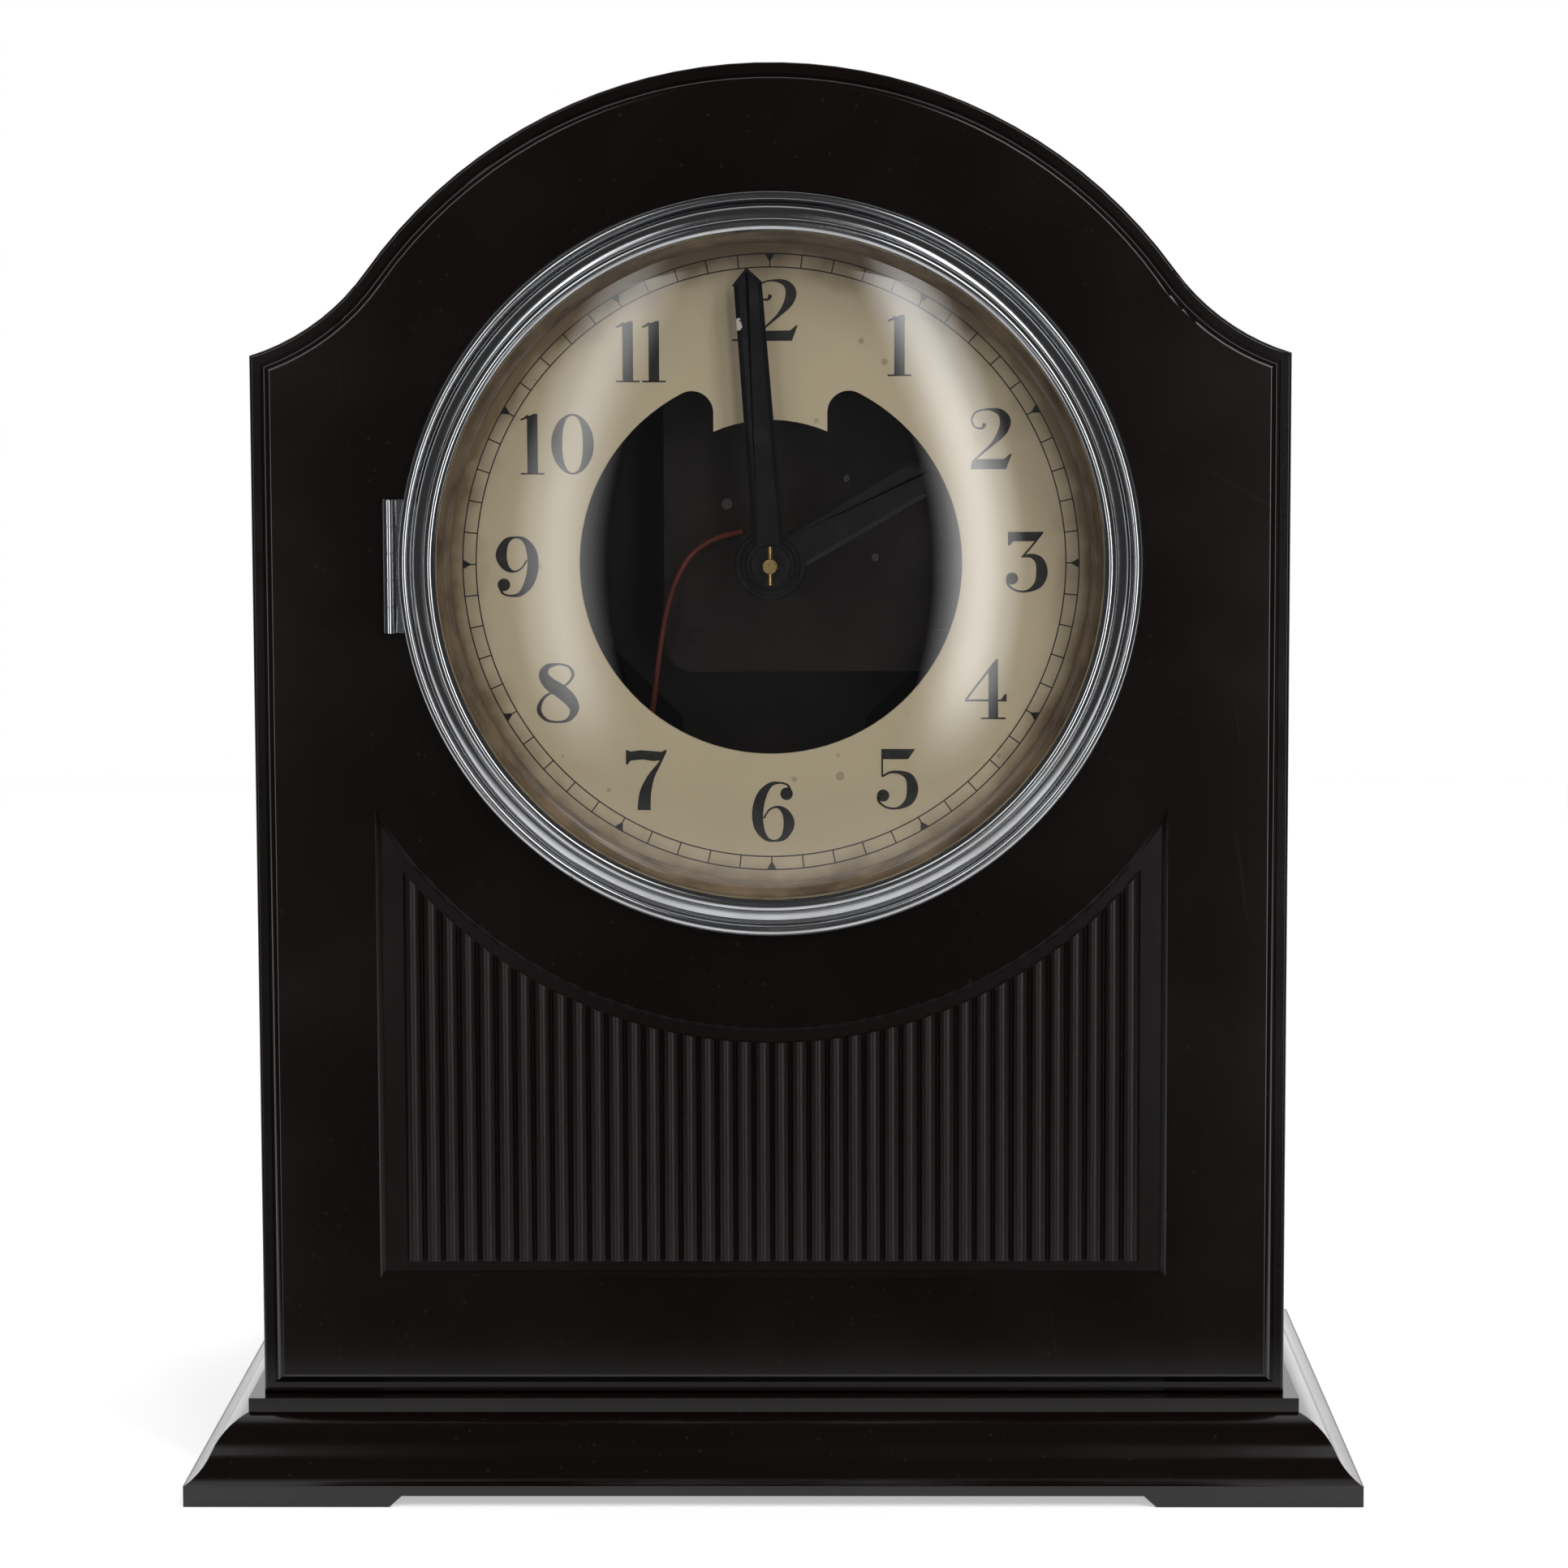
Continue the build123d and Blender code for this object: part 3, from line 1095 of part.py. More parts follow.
def along_coil(sketch, length):
    """Extrusion of a sketch along the coil's axis, centred on the pendulum."""
    plane = Plane(origin=(-length / 2, PENDULUM_Y, COIL_HEIGHT), x_dir=(0, 1, 0), z_dir=(1, 0, 0))
    return extrude(plane * sketch, amount=length)


def coil_bobbin():
    """Spool that slides over the magnet, with two cheeks."""
    tube = along_coil(Circle(COIL_BORE + COIL_TUBE) - Circle(COIL_BORE), COIL_LENGTH)
    cheeks = along_coil(Circle(COIL_FLANGE) - Circle(COIL_BORE), COIL_LENGTH)
    return tube + cheeks - along_coil(Circle(COIL_FLANGE + CUT) - Circle(COIL_BORE + COIL_TUBE),
                                      COIL_LENGTH - 2 * COIL_CHEEK)


def coil_winding():
    """Covered winding between the cheeks."""
    return along_coil(Circle(WINDING) - Circle(COIL_BORE + COIL_TUBE), COIL_LENGTH - 2 * COIL_CHEEK)


def coil_strap():
    """Band round the winding that hangs the coil on the rod."""
    wide, tall = STRAP_BOSS
    band = along_coil(Circle(WINDING + STRAP_BAND) - Circle(WINDING), STRAP_WIDTH)
    boss = block(around(0, STRAP_WIDTH), around(PENDULUM_Y, wide), (COIL_HEIGHT + WINDING, STRAP_TOP))
    boss -= along_coil(Circle(WINDING), STRAP_WIDTH + CUT)
    return band + boss - post((0, PENDULUM_Y), ROD + FIT, STRAP_TOP - tall, STRAP_TOP + CUT)


def rating_nut():
    """Milled nut on the rod that sets the clock's rate."""
    low = STRAP_TOP + NUT_ABOVE_BOSS
    nut = post((0, PENDULUM_Y), NUT_RADIUS, low, low + NUT_HEIGHT)
    for number in range(NUT_FLUTES):
        x, y = polar((0, PENDULUM_Y), NUT_RADIUS, number * 360 / NUT_FLUTES)
        nut -= post((x, y), NUT_FLUTE, low - CUT, low + NUT_HEIGHT + CUT)
    return nut - post((0, PENDULUM_Y), ROD + FIT, low - CUT, low + NUT_HEIGHT + CUT)


def magnet_arc(radius, half_angle):
    """Round bar bent about the pendulum's pivot."""
    plane = Plane(origin=(0, PENDULUM_Y, PIVOT_HEIGHT - PENDULUM_LENGTH), x_dir=(0, 1, 0), z_dir=(1, 0, 0))
    axis = Axis((0, PENDULUM_Y, PIVOT_HEIGHT), (0, 1, 0))
    bar = revolve(plane * Circle(radius), axis=axis, revolution_arc=2 * half_angle)
    return bar.rotate(axis, -half_angle)


def magnet_bar():
    return magnet_arc(MAGNET, MAGNET_HALF_ANGLE)


def magnet_bracket(side):
    """Post that holds one end of the magnet."""
    x = side * BRACKET_OFFSET
    drop = sqrt(PENDULUM_LENGTH**2 - BRACKET_OFFSET**2)
    top = PIVOT_HEIGHT - drop + BRACKET_ABOVE
    bracket = block(around(x, BRACKET[0]), around(PENDULUM_Y, BRACKET[1]), (PLINTH_HEIGHT, top))
    bracket = fillet(bracket.edges().group_by(Axis.Z)[-1].filter_by(Axis.X), BRACKET[1] / 4)
    foot = (PLINTH_HEIGHT, PLINTH_HEIGHT + FOOT_PLATE)
    bracket += block(around(x, BRACKET_FOOT[0]), around(PENDULUM_Y, BRACKET_FOOT[1]), foot)
    for place in deck_screw_places()[1]:
        bracket -= post(place, WOOD_SCREW[0] + FIT, foot[0] - CUT, foot[1] + CUT)
    return bracket - magnet_arc(MAGNET + FIT, MAGNET_HALF_ANGLE)


def magnet_bracket_left():
    return magnet_bracket(-1)


def magnet_bracket_right():
    return magnet_bracket(1)


def battery_post_place():
    return (BATTERY_PLACE[0] + BATTERY_RADIUS - BATTERY_POST_INSET, BATTERY_PLACE[1])


def battery_cell():
    """Round dry cell."""
    cell = post(BATTERY_PLACE, BATTERY_RADIUS, PLINTH_HEIGHT, BATTERY_TOP)
    return chamfer(cell.edges().group_by(Axis.Z)[-1], CORNER_ROUND)


def battery_terminals():
    """Cap in the middle of the cell and post near its rim."""
    cap = post(BATTERY_PLACE, BATTERY_CAP[0], BATTERY_TOP, BATTERY_TOP + BATTERY_CAP[1])
    return group([cap, post(battery_post_place(), BATTERY_POST[0], BATTERY_TOP,
                            BATTERY_TOP + BATTERY_POST[1])])


def battery_clip():
    """Sprung band round the cell, on a foot that is screwed to the deck."""
    x, y = BATTERY_PLACE
    inner = BATTERY_RADIUS + FIT
    outer = BATTERY_RADIUS + CLIP_BAND
    low = PLINTH_HEIGHT + CLIP_LOW
    band = post(BATTERY_PLACE, outer, low, low + CLIP_TALL)
    band -= post(BATTERY_PLACE, inner, low - CUT, low + CLIP_TALL + CUT)
    reach = 2 * outer
    mouth = [(0, 0), polar((0, 0), reach, 90 - CLIP_MOUTH / 2), polar((0, 0), reach, 90 + CLIP_MOUTH / 2)]
    band -= Pos(x, y, low - CUT) * extrude(outline(*mouth), amount=CLIP_TALL + 2 * CUT)
    wide = around(y, CLIP_FOOT[1])
    leg = block((x + inner - CLIP_BAND, x + outer), wide, (PLINTH_HEIGHT, low + CLIP_TALL))
    leg -= post(BATTERY_PLACE, inner, PLINTH_HEIGHT - CUT, low + CLIP_TALL + CUT)
    foot = block((x + inner, x + outer + CLIP_FOOT[0]), wide, (PLINTH_HEIGHT, PLINTH_HEIGHT + CLIP_BAND))
    clip = band + leg + foot
    for place in deck_screw_places()[2]:
        clip -= post(place, WOOD_SCREW[0] + FIT, PLINTH_HEIGHT - CUT, PLINTH_HEIGHT + CLIP_BAND + CUT)
    return clip


def lead(points):
    """Insulated lead along a route whose corners are rounded as far as its runs allow."""
    places = [Vector(*point) for point in points]
    runs = [end - start for start, end in zip(places, places[1:])]
    radii = []
    for before, after in zip(runs, runs[1:]):
        turn = before.get_angle(after)
        radii.append(0.45 * min(before.length, after.length) / tan(radians(turn / 2)))
    path = FilletPolyline(*places, radius=radii)
    section = Plane(origin=path @ 0, z_dir=path % 0) * Circle(LEAD)
    print("lead of", round(path.length), "mm, tightest bend", round(min(radii), 1), "mm")
    return sweep(section, path=path)


def route(start, near_start, near_end, end):
    """Points of a lead that lies on a terminal and drops straight on to the cell."""
    points = [start]
    points += [tuple(map(sum, zip(start, offset))) for offset in near_start]
    points += [tuple(map(sum, zip((*BATTERY_PLACE, BATTERY_TOP), offset))) for offset in near_end]
    return points + [(end[0], end[1], end[2] + LEAD_DROP), end]


def red_lead():
    start = (TERMINAL_RED[0], PLATE_Y - SMALL_SCREW[2] - LEAD, TERMINAL_RED[1])
    end = (*BATTERY_PLACE, BATTERY_TOP + BATTERY_CAP[1])
    return lead(route(start, RED_FROM_PLATE, RED_FROM_CELL, end))


def black_lead():
    start = (TERMINAL_BLACK[0], STAND_REAR_Y + SMALL_SCREW[2] + LEAD, TERMINAL_BLACK[1])
    end = (*battery_post_place(), BATTERY_TOP + BATTERY_POST[1])
    return lead(route(start, BLACK_FROM_STAND, BLACK_FROM_CELL, end))


def back_door():
    """Back door, an arched panel let in between the walls, with a sunk field."""
    door = slab(case_outline(WALL + DOOR_GAP, PLINTH_HEIGHT + DOOR_GAP), DOOR_Y, REAR_Y)
    field = case_outline(WALL + DOOR_PANEL_INSET, PLINTH_HEIGHT + DOOR_PANEL_INSET)
    door -= slab(field, REAR_Y - DOOR_PANEL_DEPTH, REAR_Y + CUT)
    return door


def door_hinge_low(height):
    return height - 1.5 * DOOR_KNUCKLE


def door_hinge_leaves():
    """Two leaves on the door, each with the middle knuckle of its hinge."""
    leaves = []
    y = (REAR_Y, REAR_Y + DOOR_LEAF)
    for height in DOOR_HINGE_HEIGHTS:
        low = door_hinge_low(height)
        edge = DOOR_AXIS[0] - DOOR_BARREL - DOOR_GAP
        leaf = block((DOOR_AXIS[0] - DOOR_LEAF_WIDTH, edge), y, (low, low + 3 * DOOR_KNUCKLE))
        leaf += block((edge - CUT, DOOR_AXIS[0]), y, around(height, DOOR_KNUCKLE - 2 * KNUCKLE_GAP))
        leaf += knuckles(DOOR_AXIS, low, DOOR_KNUCKLE, [1], DOOR_BARREL, DOOR_PIN)
        leaves.append(leaf - post(DOOR_AXIS, DOOR_PIN + FIT, low, low + 3 * DOOR_KNUCKLE))
    return group(leaves)


def door_hinge_case_leaves():
    """Two leaves on the case's rear rim, each with the outer knuckles of its hinge."""
    leaves = []
    y = (REAR_Y, REAR_Y + DOOR_LEAF)
    for height in DOOR_HINGE_HEIGHTS:
        low = door_hinge_low(height)
        edge = rim_leaf_edge()
        leaf = block((edge, HALF - RIM_LEAF_MARGIN), y, (low, low + 3 * DOOR_KNUCKLE))
        for number in (0, 2):
            start = low + number * DOOR_KNUCKLE
            leaf += block((DOOR_AXIS[0], edge + RIM_LEAF_MARGIN), y,
                          (start + KNUCKLE_GAP, start + DOOR_KNUCKLE - KNUCKLE_GAP))
        leaf += knuckles(DOOR_AXIS, low, DOOR_KNUCKLE, [0, 2], DOOR_BARREL, DOOR_PIN)
        leaves.append(leaf - post(DOOR_AXIS, DOOR_PIN + FIT, low, low + 3 * DOOR_KNUCKLE))
    shapes = group(leaves)
    for place in rim_screw_places():
        shapes = shapes - disc(place, TINY_SCREW[0] + FIT, REAR_Y - CUT, REAR_Y + CUT)
    return shapes


def door_hinge_pins():
    lows = [door_hinge_low(height) for height in DOOR_HINGE_HEIGHTS]
    return group([post(DOOR_AXIS, DOOR_PIN, low, low + 3 * DOOR_KNUCKLE) for low in lows])


def door_hinge_screws():
    seat = REAR_Y + DOOR_LEAF
    return group([screw_back(place, TINY_SCREW, seat, DOOR_LEAF + WALL - END_SHAKE)
                  for place in rim_screw_places()])


def pull_knob():
    """Small knob that the door is pulled open by."""
    neck = disc(KNOB_PLACE, KNOB_NECK, REAR_Y, REAR_Y + KNOB_HEIGHT / 2)
    head = disc(KNOB_PLACE, KNOB_RADIUS, REAR_Y + KNOB_HEIGHT / 2 - CUT, REAR_Y + KNOB_HEIGHT)
    return neck + fillet(head.edges(), KNOB_HEIGHT / 5)


def catch_spring():
    """Bent strip on the door's inner face that rubs past the ledge."""
    ledge = -(HALF - WALL - DOOR_LEDGE)
    leg = ledge + CATCH_GAP
    high = around(KNOB_PLACE[1], CATCH_HEIGHT)
    strip = block((leg, leg + CATCH_BASE), (DOOR_Y - CATCH_STRIP, DOOR_Y), high)
    return strip + block((leg, leg + CATCH_STRIP), (DOOR_Y - CATCH_REACH, DOOR_Y), high)


PIECES = [
    case_shell, plinth, case_screws, bezel_ring, bezel_glass, sight_ring, bezel_hinge_leaf,
    bezel_hinge_case_leaf, bezel_hinge_pin, bezel_hinge_screws, dial_plate, dial_screws, minute_hand,
    hour_hand, hand_washer, taper_pin, cannon_pinion, hour_wheel, minute_wheel, centre_arbor, centre_wheel,
    third_pinion, third_wheel, ratchet_pinion, ratchet_wheel, front_plate, stand_plate, plate_pillars,
    pillar_screws, plate_studs, deck_screws, terminal_screws, suspension_cock, suspension_spring,
    suspension_chops, pendulum_rod, contact_pin, contact_fork, drive_pawl, stop_click, coil_bobbin,
    coil_winding, coil_strap, rating_nut, magnet_bar, magnet_bracket_left, magnet_bracket_right,
    battery_cell, battery_terminals, battery_clip, red_lead, black_lead, back_door, door_hinge_leaves,
    door_hinge_case_leaves, door_hinge_pins, door_hinge_screws, pull_knob, catch_spring,
]

os.makedirs("parts", exist_ok=True)
for piece in PIECES:
    export_step(piece(), "parts/" + piece.__name__ + ".step")
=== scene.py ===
"""Dresses the arch-top mantel clock: finishes, printed dial, bevelled hands, leads and a studio."""

import cmath
import json
import math

import bmesh
import bpy
from mathutils import Matrix, Vector
from mathutils.geometry import delaunay_2d_cdt


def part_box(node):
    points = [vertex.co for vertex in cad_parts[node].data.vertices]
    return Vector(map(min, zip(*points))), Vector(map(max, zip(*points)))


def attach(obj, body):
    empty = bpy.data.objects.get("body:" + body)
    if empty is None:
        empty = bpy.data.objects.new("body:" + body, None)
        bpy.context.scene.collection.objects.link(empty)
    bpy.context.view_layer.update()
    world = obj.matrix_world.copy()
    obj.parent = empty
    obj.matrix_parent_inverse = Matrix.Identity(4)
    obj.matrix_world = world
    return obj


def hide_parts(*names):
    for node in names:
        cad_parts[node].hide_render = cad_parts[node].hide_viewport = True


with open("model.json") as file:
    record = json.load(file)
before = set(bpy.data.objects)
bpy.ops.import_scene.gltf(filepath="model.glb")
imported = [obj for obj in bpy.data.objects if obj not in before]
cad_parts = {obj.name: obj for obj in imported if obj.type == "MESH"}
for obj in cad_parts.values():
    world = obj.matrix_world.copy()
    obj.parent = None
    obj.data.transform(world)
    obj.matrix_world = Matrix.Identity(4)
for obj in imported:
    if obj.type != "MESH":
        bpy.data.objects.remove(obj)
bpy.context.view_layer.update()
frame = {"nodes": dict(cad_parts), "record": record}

bl_info = {
    "name": "Mantel clock",
    "version": (1, 0, 0),
    "blender": (4, 5, 0),
    "location": "View3D > Sidebar > Clock",
    "description": "Finishes, dial print, hands and studio of an arch-top mantel clock",
    "category": "Object",
}

MM = 0.001
NUMBER = "NodeSocketFloat"
VECTOR = ("NodeSocketVector", None)

BODY_OF = {node: body for body, nodes in frame["record"]["behaviour"]["bodies"].items() for node in nodes}
SLOT_OF = {part["node"]: part["material_slot"] for part in frame["record"]["subparts"]}
DIAL_LOW, DIAL_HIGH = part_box("dial_plate")
DIAL_CENTRE = Vector((0, DIAL_LOW.y, (DIAL_LOW.z + DIAL_HIGH.z) / 2))
FACE_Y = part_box("case_shell")[0].y
COIL_LOW, COIL_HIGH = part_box("coil_winding")

# The sunk panel of reeds: its reach from the middle and from the ground, the depths behind the face over
# which it and its floor begin, and its floor's share of the reeds' dullness.
PANEL_SIDE = 66 * MM
PANEL_TOP = 117 * MM
PANEL_EDGE = (0.05 * MM, 0.25 * MM)
PANEL_FLOOR = (1.12 * MM, 1.18 * MM)
PANEL_FLOOR_SHARE = 0.3

# Corners nearer than this are one, and a solid's normal further than this from its face is replaced.
MERGE = 0.002 * MM
STRAY = math.radians(16)

# The raised face's rounded rim: its radius on the arch, its rounding, how near a corner lies to it,
# and how far over the rounding its flat face ends.
RIM_RADIUS = 80.7 * MM
RIM_ROUND = 1.3 * MM
RIM_FIT = 0.01 * MM
RIM_FLAT = math.radians(2)


# Settings

def colour(name, description, default):
    """A colour setting in linear light."""
    return bpy.props.FloatVectorProperty(
        name=name, description=description, default=default, size=3, min=0, max=1, subtype="COLOR"
    )


def length(name, description, millimetres):
    """A length setting whose default is given in millimetres."""
    return bpy.props.FloatProperty(
        name=name, description=description, default=millimetres * MM, min=0, precision=5, unit="LENGTH",
        subtype="DISTANCE",
    )


def share(name, description, default):
    """A setting between nothing and one."""
    return bpy.props.FloatProperty(
        name=name, description=description, default=default, min=0, max=1, subtype="FACTOR"
    )


def power(name, description, watts):
    """A lamp's power setting."""
    return bpy.props.FloatProperty(name=name, description=description, default=watts, unit="POWER")


def brightness(name, description, default):
    """A glowing surface's brightness setting."""
    return bpy.props.FloatProperty(name=name, description=description, default=default, min=0)


class ClockCaseSettings(bpy.types.PropertyGroup):
    """Finish of the moulded case."""

    body: colour("Moulding", "Colour of the moulded case", (0.0042, 0.0022, 0.0017))
    haze: colour("Haze", "Colour where handling has dulled the case", (0.0064, 0.0040, 0.0034))
    roughness: share("Roughness", "Gloss of the case, 0 for a mirror", 0.13)
    reeds: share("Reed roughness", "Gloss of the reeded panel, which polishing doesn't reach", 0.36)


class ClockBezelSettings(bpy.types.PropertyGroup):
    """Finish of the bezel and the sloped ring behind the glass."""

    plate: colour("Plating", "Colour of the plated bezel", (0.50, 0.51, 0.53))
    tarnish: colour("Tarnish", "Colour of the plating's dull spots", (0.22, 0.21, 0.20))
    ring: colour("Ring lacquer", "Lacquer on the sloped ring", (0.205, 0.145, 0.088))
    dirt: colour("Ring dirt", "Dirt in the sloped ring", (0.080, 0.056, 0.036))


class ClockDialSettings(bpy.types.PropertyGroup):
    """Enamel and print of the dial."""

    enamel: colour("Enamel", "Cream enamel of the dial", (0.480, 0.400, 0.265))
    # This brown is the enamel's patina at the rim and also the painted shade of the bezel over the top of the
    # dial.
    patina_and_shade: colour("Patina", "Brown of the aged enamel at the rim", (0.170, 0.118, 0.066))
    ink: colour("Ink", "Ink of the numbers and the track", (0.012, 0.011, 0.011))
    numeral_height: length("Number height", "Height of an hour number", 10.1)
    track_outside: length("Track outside", "Radius of the track's outer line", 51.4)
    track_inside: length("Track inside", "Radius of the track's inner line", 49.2)
    line: length("Line", "Width of the track's lines", 0.21)
    film: length("Ink film", "Thickness of the print", 0.03)


class ClockHandSettings(bpy.types.PropertyGroup):
    """Shape and finish of the hands."""

    steel: colour("Blued steel", "Colour of the hands' flat", (0.0040, 0.0042, 0.0056))
    wear: colour("Worn steel", "Colour where the finish is rubbed", (0.013, 0.013, 0.015))
    bevel: length("Bevel", "Width of the bevel along a hand's edge", 0.72)
    fall: length("Fall", "Depth of the bevel at a hand's edge", 0.45)


class ClockStageSettings(bpy.types.PropertyGroup):
    """Light and floor of the studio."""

    floor: colour("Floor", "Colour of the floor", (0.90, 0.90, 0.90))
    key: power("Right light", "Power of the large light on the right", 8.5)
    fill: power("Left light", "Power of the large light on the left", 3.0)
    top: power("Top light", "Power of the light above", 6.0)
    left_strip: brightness("Left strip", "Brightness of the left strip box", 3.4)
    right_strip: brightness("Right strip", "Brightness of the right strip box", 5.5)
    front: share("Front level", "Brightness of the dim side of the studio", 0.05)
    back: share("Back level", "Brightness of the white side of the studio", 1.0)


# Node trees

def add(tree, kind, feeds=None, **settings):
    """A new node with its settings, and its inputs given as values or as sockets to link."""
    node = tree.nodes.new(kind)
    for key, value in settings.items():
        setattr(node, key, value)
    for name, value in (feeds or {}).items():
        if isinstance(value, bpy.types.NodeSocket):
            tree.links.new(value, node.inputs[name])
        else:
            node.inputs[name].default_value = value
    return node


def maths(tree, operation, first, second=0.0):
    """The value of a Math node."""
    return add(tree, "ShaderNodeMath", {0: first, 1: second}, operation=operation).outputs[0]


def times(tree, value, factor):
    """A value times a factor."""
    return maths(tree, "MULTIPLY", value, factor)


def most(tree, first, *others):
    """The largest of several values."""
    for other in others:
        first = maths(tree, "MAXIMUM", first, other)
    return first


def blended(tree, mask, low, high):
    """The colour between low and high that a mask picks."""
    low, high = ((*c, 1) if not isinstance(c, bpy.types.NodeSocket) else c for c in (low, high))
    return add(tree, "ShaderNodeMix", {0: mask, 6: low, 7: high}, data_type="RGBA").outputs[2]


def span(tree, value, low, high, to_low=0.0, to_high=1.0):
    """A value's range turned into another, held at its ends."""
    feeds = {"Value": value, "From Min": low, "From Max": high, "To Min": to_low, "To Max": to_high}
    return add(tree, "ShaderNodeMapRange", feeds).outputs[0]


def graded(tree, mask, low, high):
    """The number between low and high that a mask picks."""
    return span(tree, mask, 0, 1, low, high)


def vector_maths(tree, operation, first, second=(0, 0, 0)):
    """The outputs of a Vector Math node."""
    return add(tree, "ShaderNodeVectorMath", {0: first, 1: second}, operation=operation).outputs


def shader_group(name, inputs, output):
    """An empty shader group with named inputs (kind, default) and one named value as its output."""
    group = bpy.data.node_groups.new(name, "ShaderNodeTree")
    for label, (kind, default) in inputs.items():
        socket = group.interface.new_socket(label, in_out="INPUT", socket_type=kind)
        if default is not None:
            socket.default_value = default
    group.interface.new_socket(output, in_out="OUTPUT", socket_type=NUMBER)
    return group, group.nodes.new("NodeGroupInput").outputs, group.nodes.new("NodeGroupOutput").inputs[output]


def scratch_group(name):
    """Long hair scratches at one angle across the front."""
    inputs = {"Vector": VECTOR, "Scale": (NUMBER, 400.0), "Turn": (NUMBER, 0.0), "Amount": (NUMBER, 1.0)}
    group, given, result = shader_group(name, inputs, "Mask")
    feeds = {"Vector": given["Vector"], "Angle": given["Turn"]}
    turned = add(group, "ShaderNodeVectorRotate", feeds, rotation_type="Y_AXIS").outputs[0]
    along = times(group, given["Scale"], 0.03)
    feeds = {"X": given["Scale"], "Y": given["Scale"], "Z": along}
    factors = add(group, "ShaderNodeCombineXYZ", feeds).outputs[0]
    stretched = vector_maths(group, "MULTIPLY", turned, factors)[0]
    noise = add(group, "ShaderNodeTexNoise", {"Vector": stretched, "Scale": 1.0, "Detail": 1.0}).outputs[0]
    group.links.new(times(group, span(group, noise, 0.70, 0.76), given["Amount"]), result)
    return group


def patch_group(name):
    """Soft patches between two levels of a noise."""
    defaults = {"Scale": 60.0, "Detail": 5.0, "Low": 0.4, "High": 0.6}
    inputs = {"Vector": VECTOR, **{label: (NUMBER, value) for label, value in defaults.items()}}
    group, given, result = shader_group(name, inputs, "Mask")
    feeds = {label: given[label] for label in ("Vector", "Scale", "Detail")}
    noise = add(group, "ShaderNodeTexNoise", feeds).outputs[0]
    group.links.new(span(group, noise, given["Low"], given["High"]), result)
    return group


def speck_group(name):
    """Scattered specks, of which few are large."""
    inputs = {"Vector": VECTOR, "Scale": (NUMBER, 500.0), "Size": (NUMBER, 0.3)}
    group, given, result = shader_group(name, inputs, "Mask")
    cells = add(group, "ShaderNodeTexVoronoi", {"Vector": given["Vector"], "Scale": given["Scale"]})
    own = add(group, "ShaderNodeSeparateColor", {0: cells.outputs["Color"]}).outputs[0]
    reach = times(group, maths(group, "POWER", own, 5.0), given["Size"])
    inside = maths(group, "SUBTRACT", reach, cells.outputs["Distance"])
    group.links.new(span(group, inside, 0.0, 0.05), result)
    return group


def dial_radius_group(name):
    """Distance from the dial's axis, in millimetres."""
    group, given, result = shader_group(name, {"Vector": VECTOR}, "Radius")
    moved = vector_maths(group, "SUBTRACT", given["Vector"], DIAL_CENTRE)[0]
    flat = vector_maths(group, "MULTIPLY", moved, (1, 0, 1))[0]
    reach = vector_maths(group, "LENGTH", flat)["Value"]
    group.links.new(times(group, reach, 1 / MM), result)
    return group


EFFECTS = {
    "scratches": scratch_group,
    "patches": patch_group,
    "specks": speck_group,
    "dial radius": dial_radius_group,
}


def effect(tree, kind, place, **values):
    """The mask or value of a shared effect, placed in a material with its own values."""
    name = f"Clock {kind}"
    group = bpy.data.node_groups.get(name) or EFFECTS[kind](name)
    feeds = {"Vector": place, **{label.capitalize(): value for label, value in values.items()}}
    return add(tree, "ShaderNodeGroup", feeds, node_tree=group).outputs[0]


def surface(name, metallic=0.0, roughness=0.5, specular=0.5):
    """A new material's tree, its Principled shader and its Object coordinates."""
    material = bpy.data.materials.new(name)
    material.use_nodes = True
    tree = material.node_tree
    shader = tree.nodes["Principled BSDF"]
    shader.inputs["Metallic"].default_value = metallic
    shader.inputs["Roughness"].default_value = roughness
    shader.inputs["Specular IOR Level"].default_value = specular
    return material, tree, shader, tree.nodes.new("ShaderNodeTexCoord").outputs["Object"]


def coat(tree, shader, base, rough):
    """Joins a colour and a roughness to the shader."""
    tree.links.new(base, shader.inputs["Base Color"])
    tree.links.new(rough, shader.inputs["Roughness"])


def raised(tree, shader, height, millimetres, strength):
    """Joins a height to the shader's normal."""
    feeds = {"Height": height, "Distance": millimetres * MM, "Strength": strength}
    bump = add(tree, "ShaderNodeBump", feeds)
    tree.links.new(bump.outputs[0], shader.inputs["Normal"])


# Finishes

def reeded(tree, place):
    """One on the reeds of the sunk panel, less on its floor and nothing on the rest of the case."""
    across, deep, up = add(tree, "ShaderNodeSeparateXYZ", {0: place}).outputs
    sunk = span(tree, deep, *(FACE_Y + depth for depth in PANEL_EDGE))
    beside = span(tree, maths(tree, "ABSOLUTE", across), PANEL_SIDE + MM, PANEL_SIDE)
    under = span(tree, up, PANEL_TOP + MM, PANEL_TOP)
    floor = span(tree, deep, *(FACE_Y + depth for depth in PANEL_FLOOR), 1.0, PANEL_FLOOR_SHARE)
    return times(tree, times(tree, sunk, floor), times(tree, beside, under))


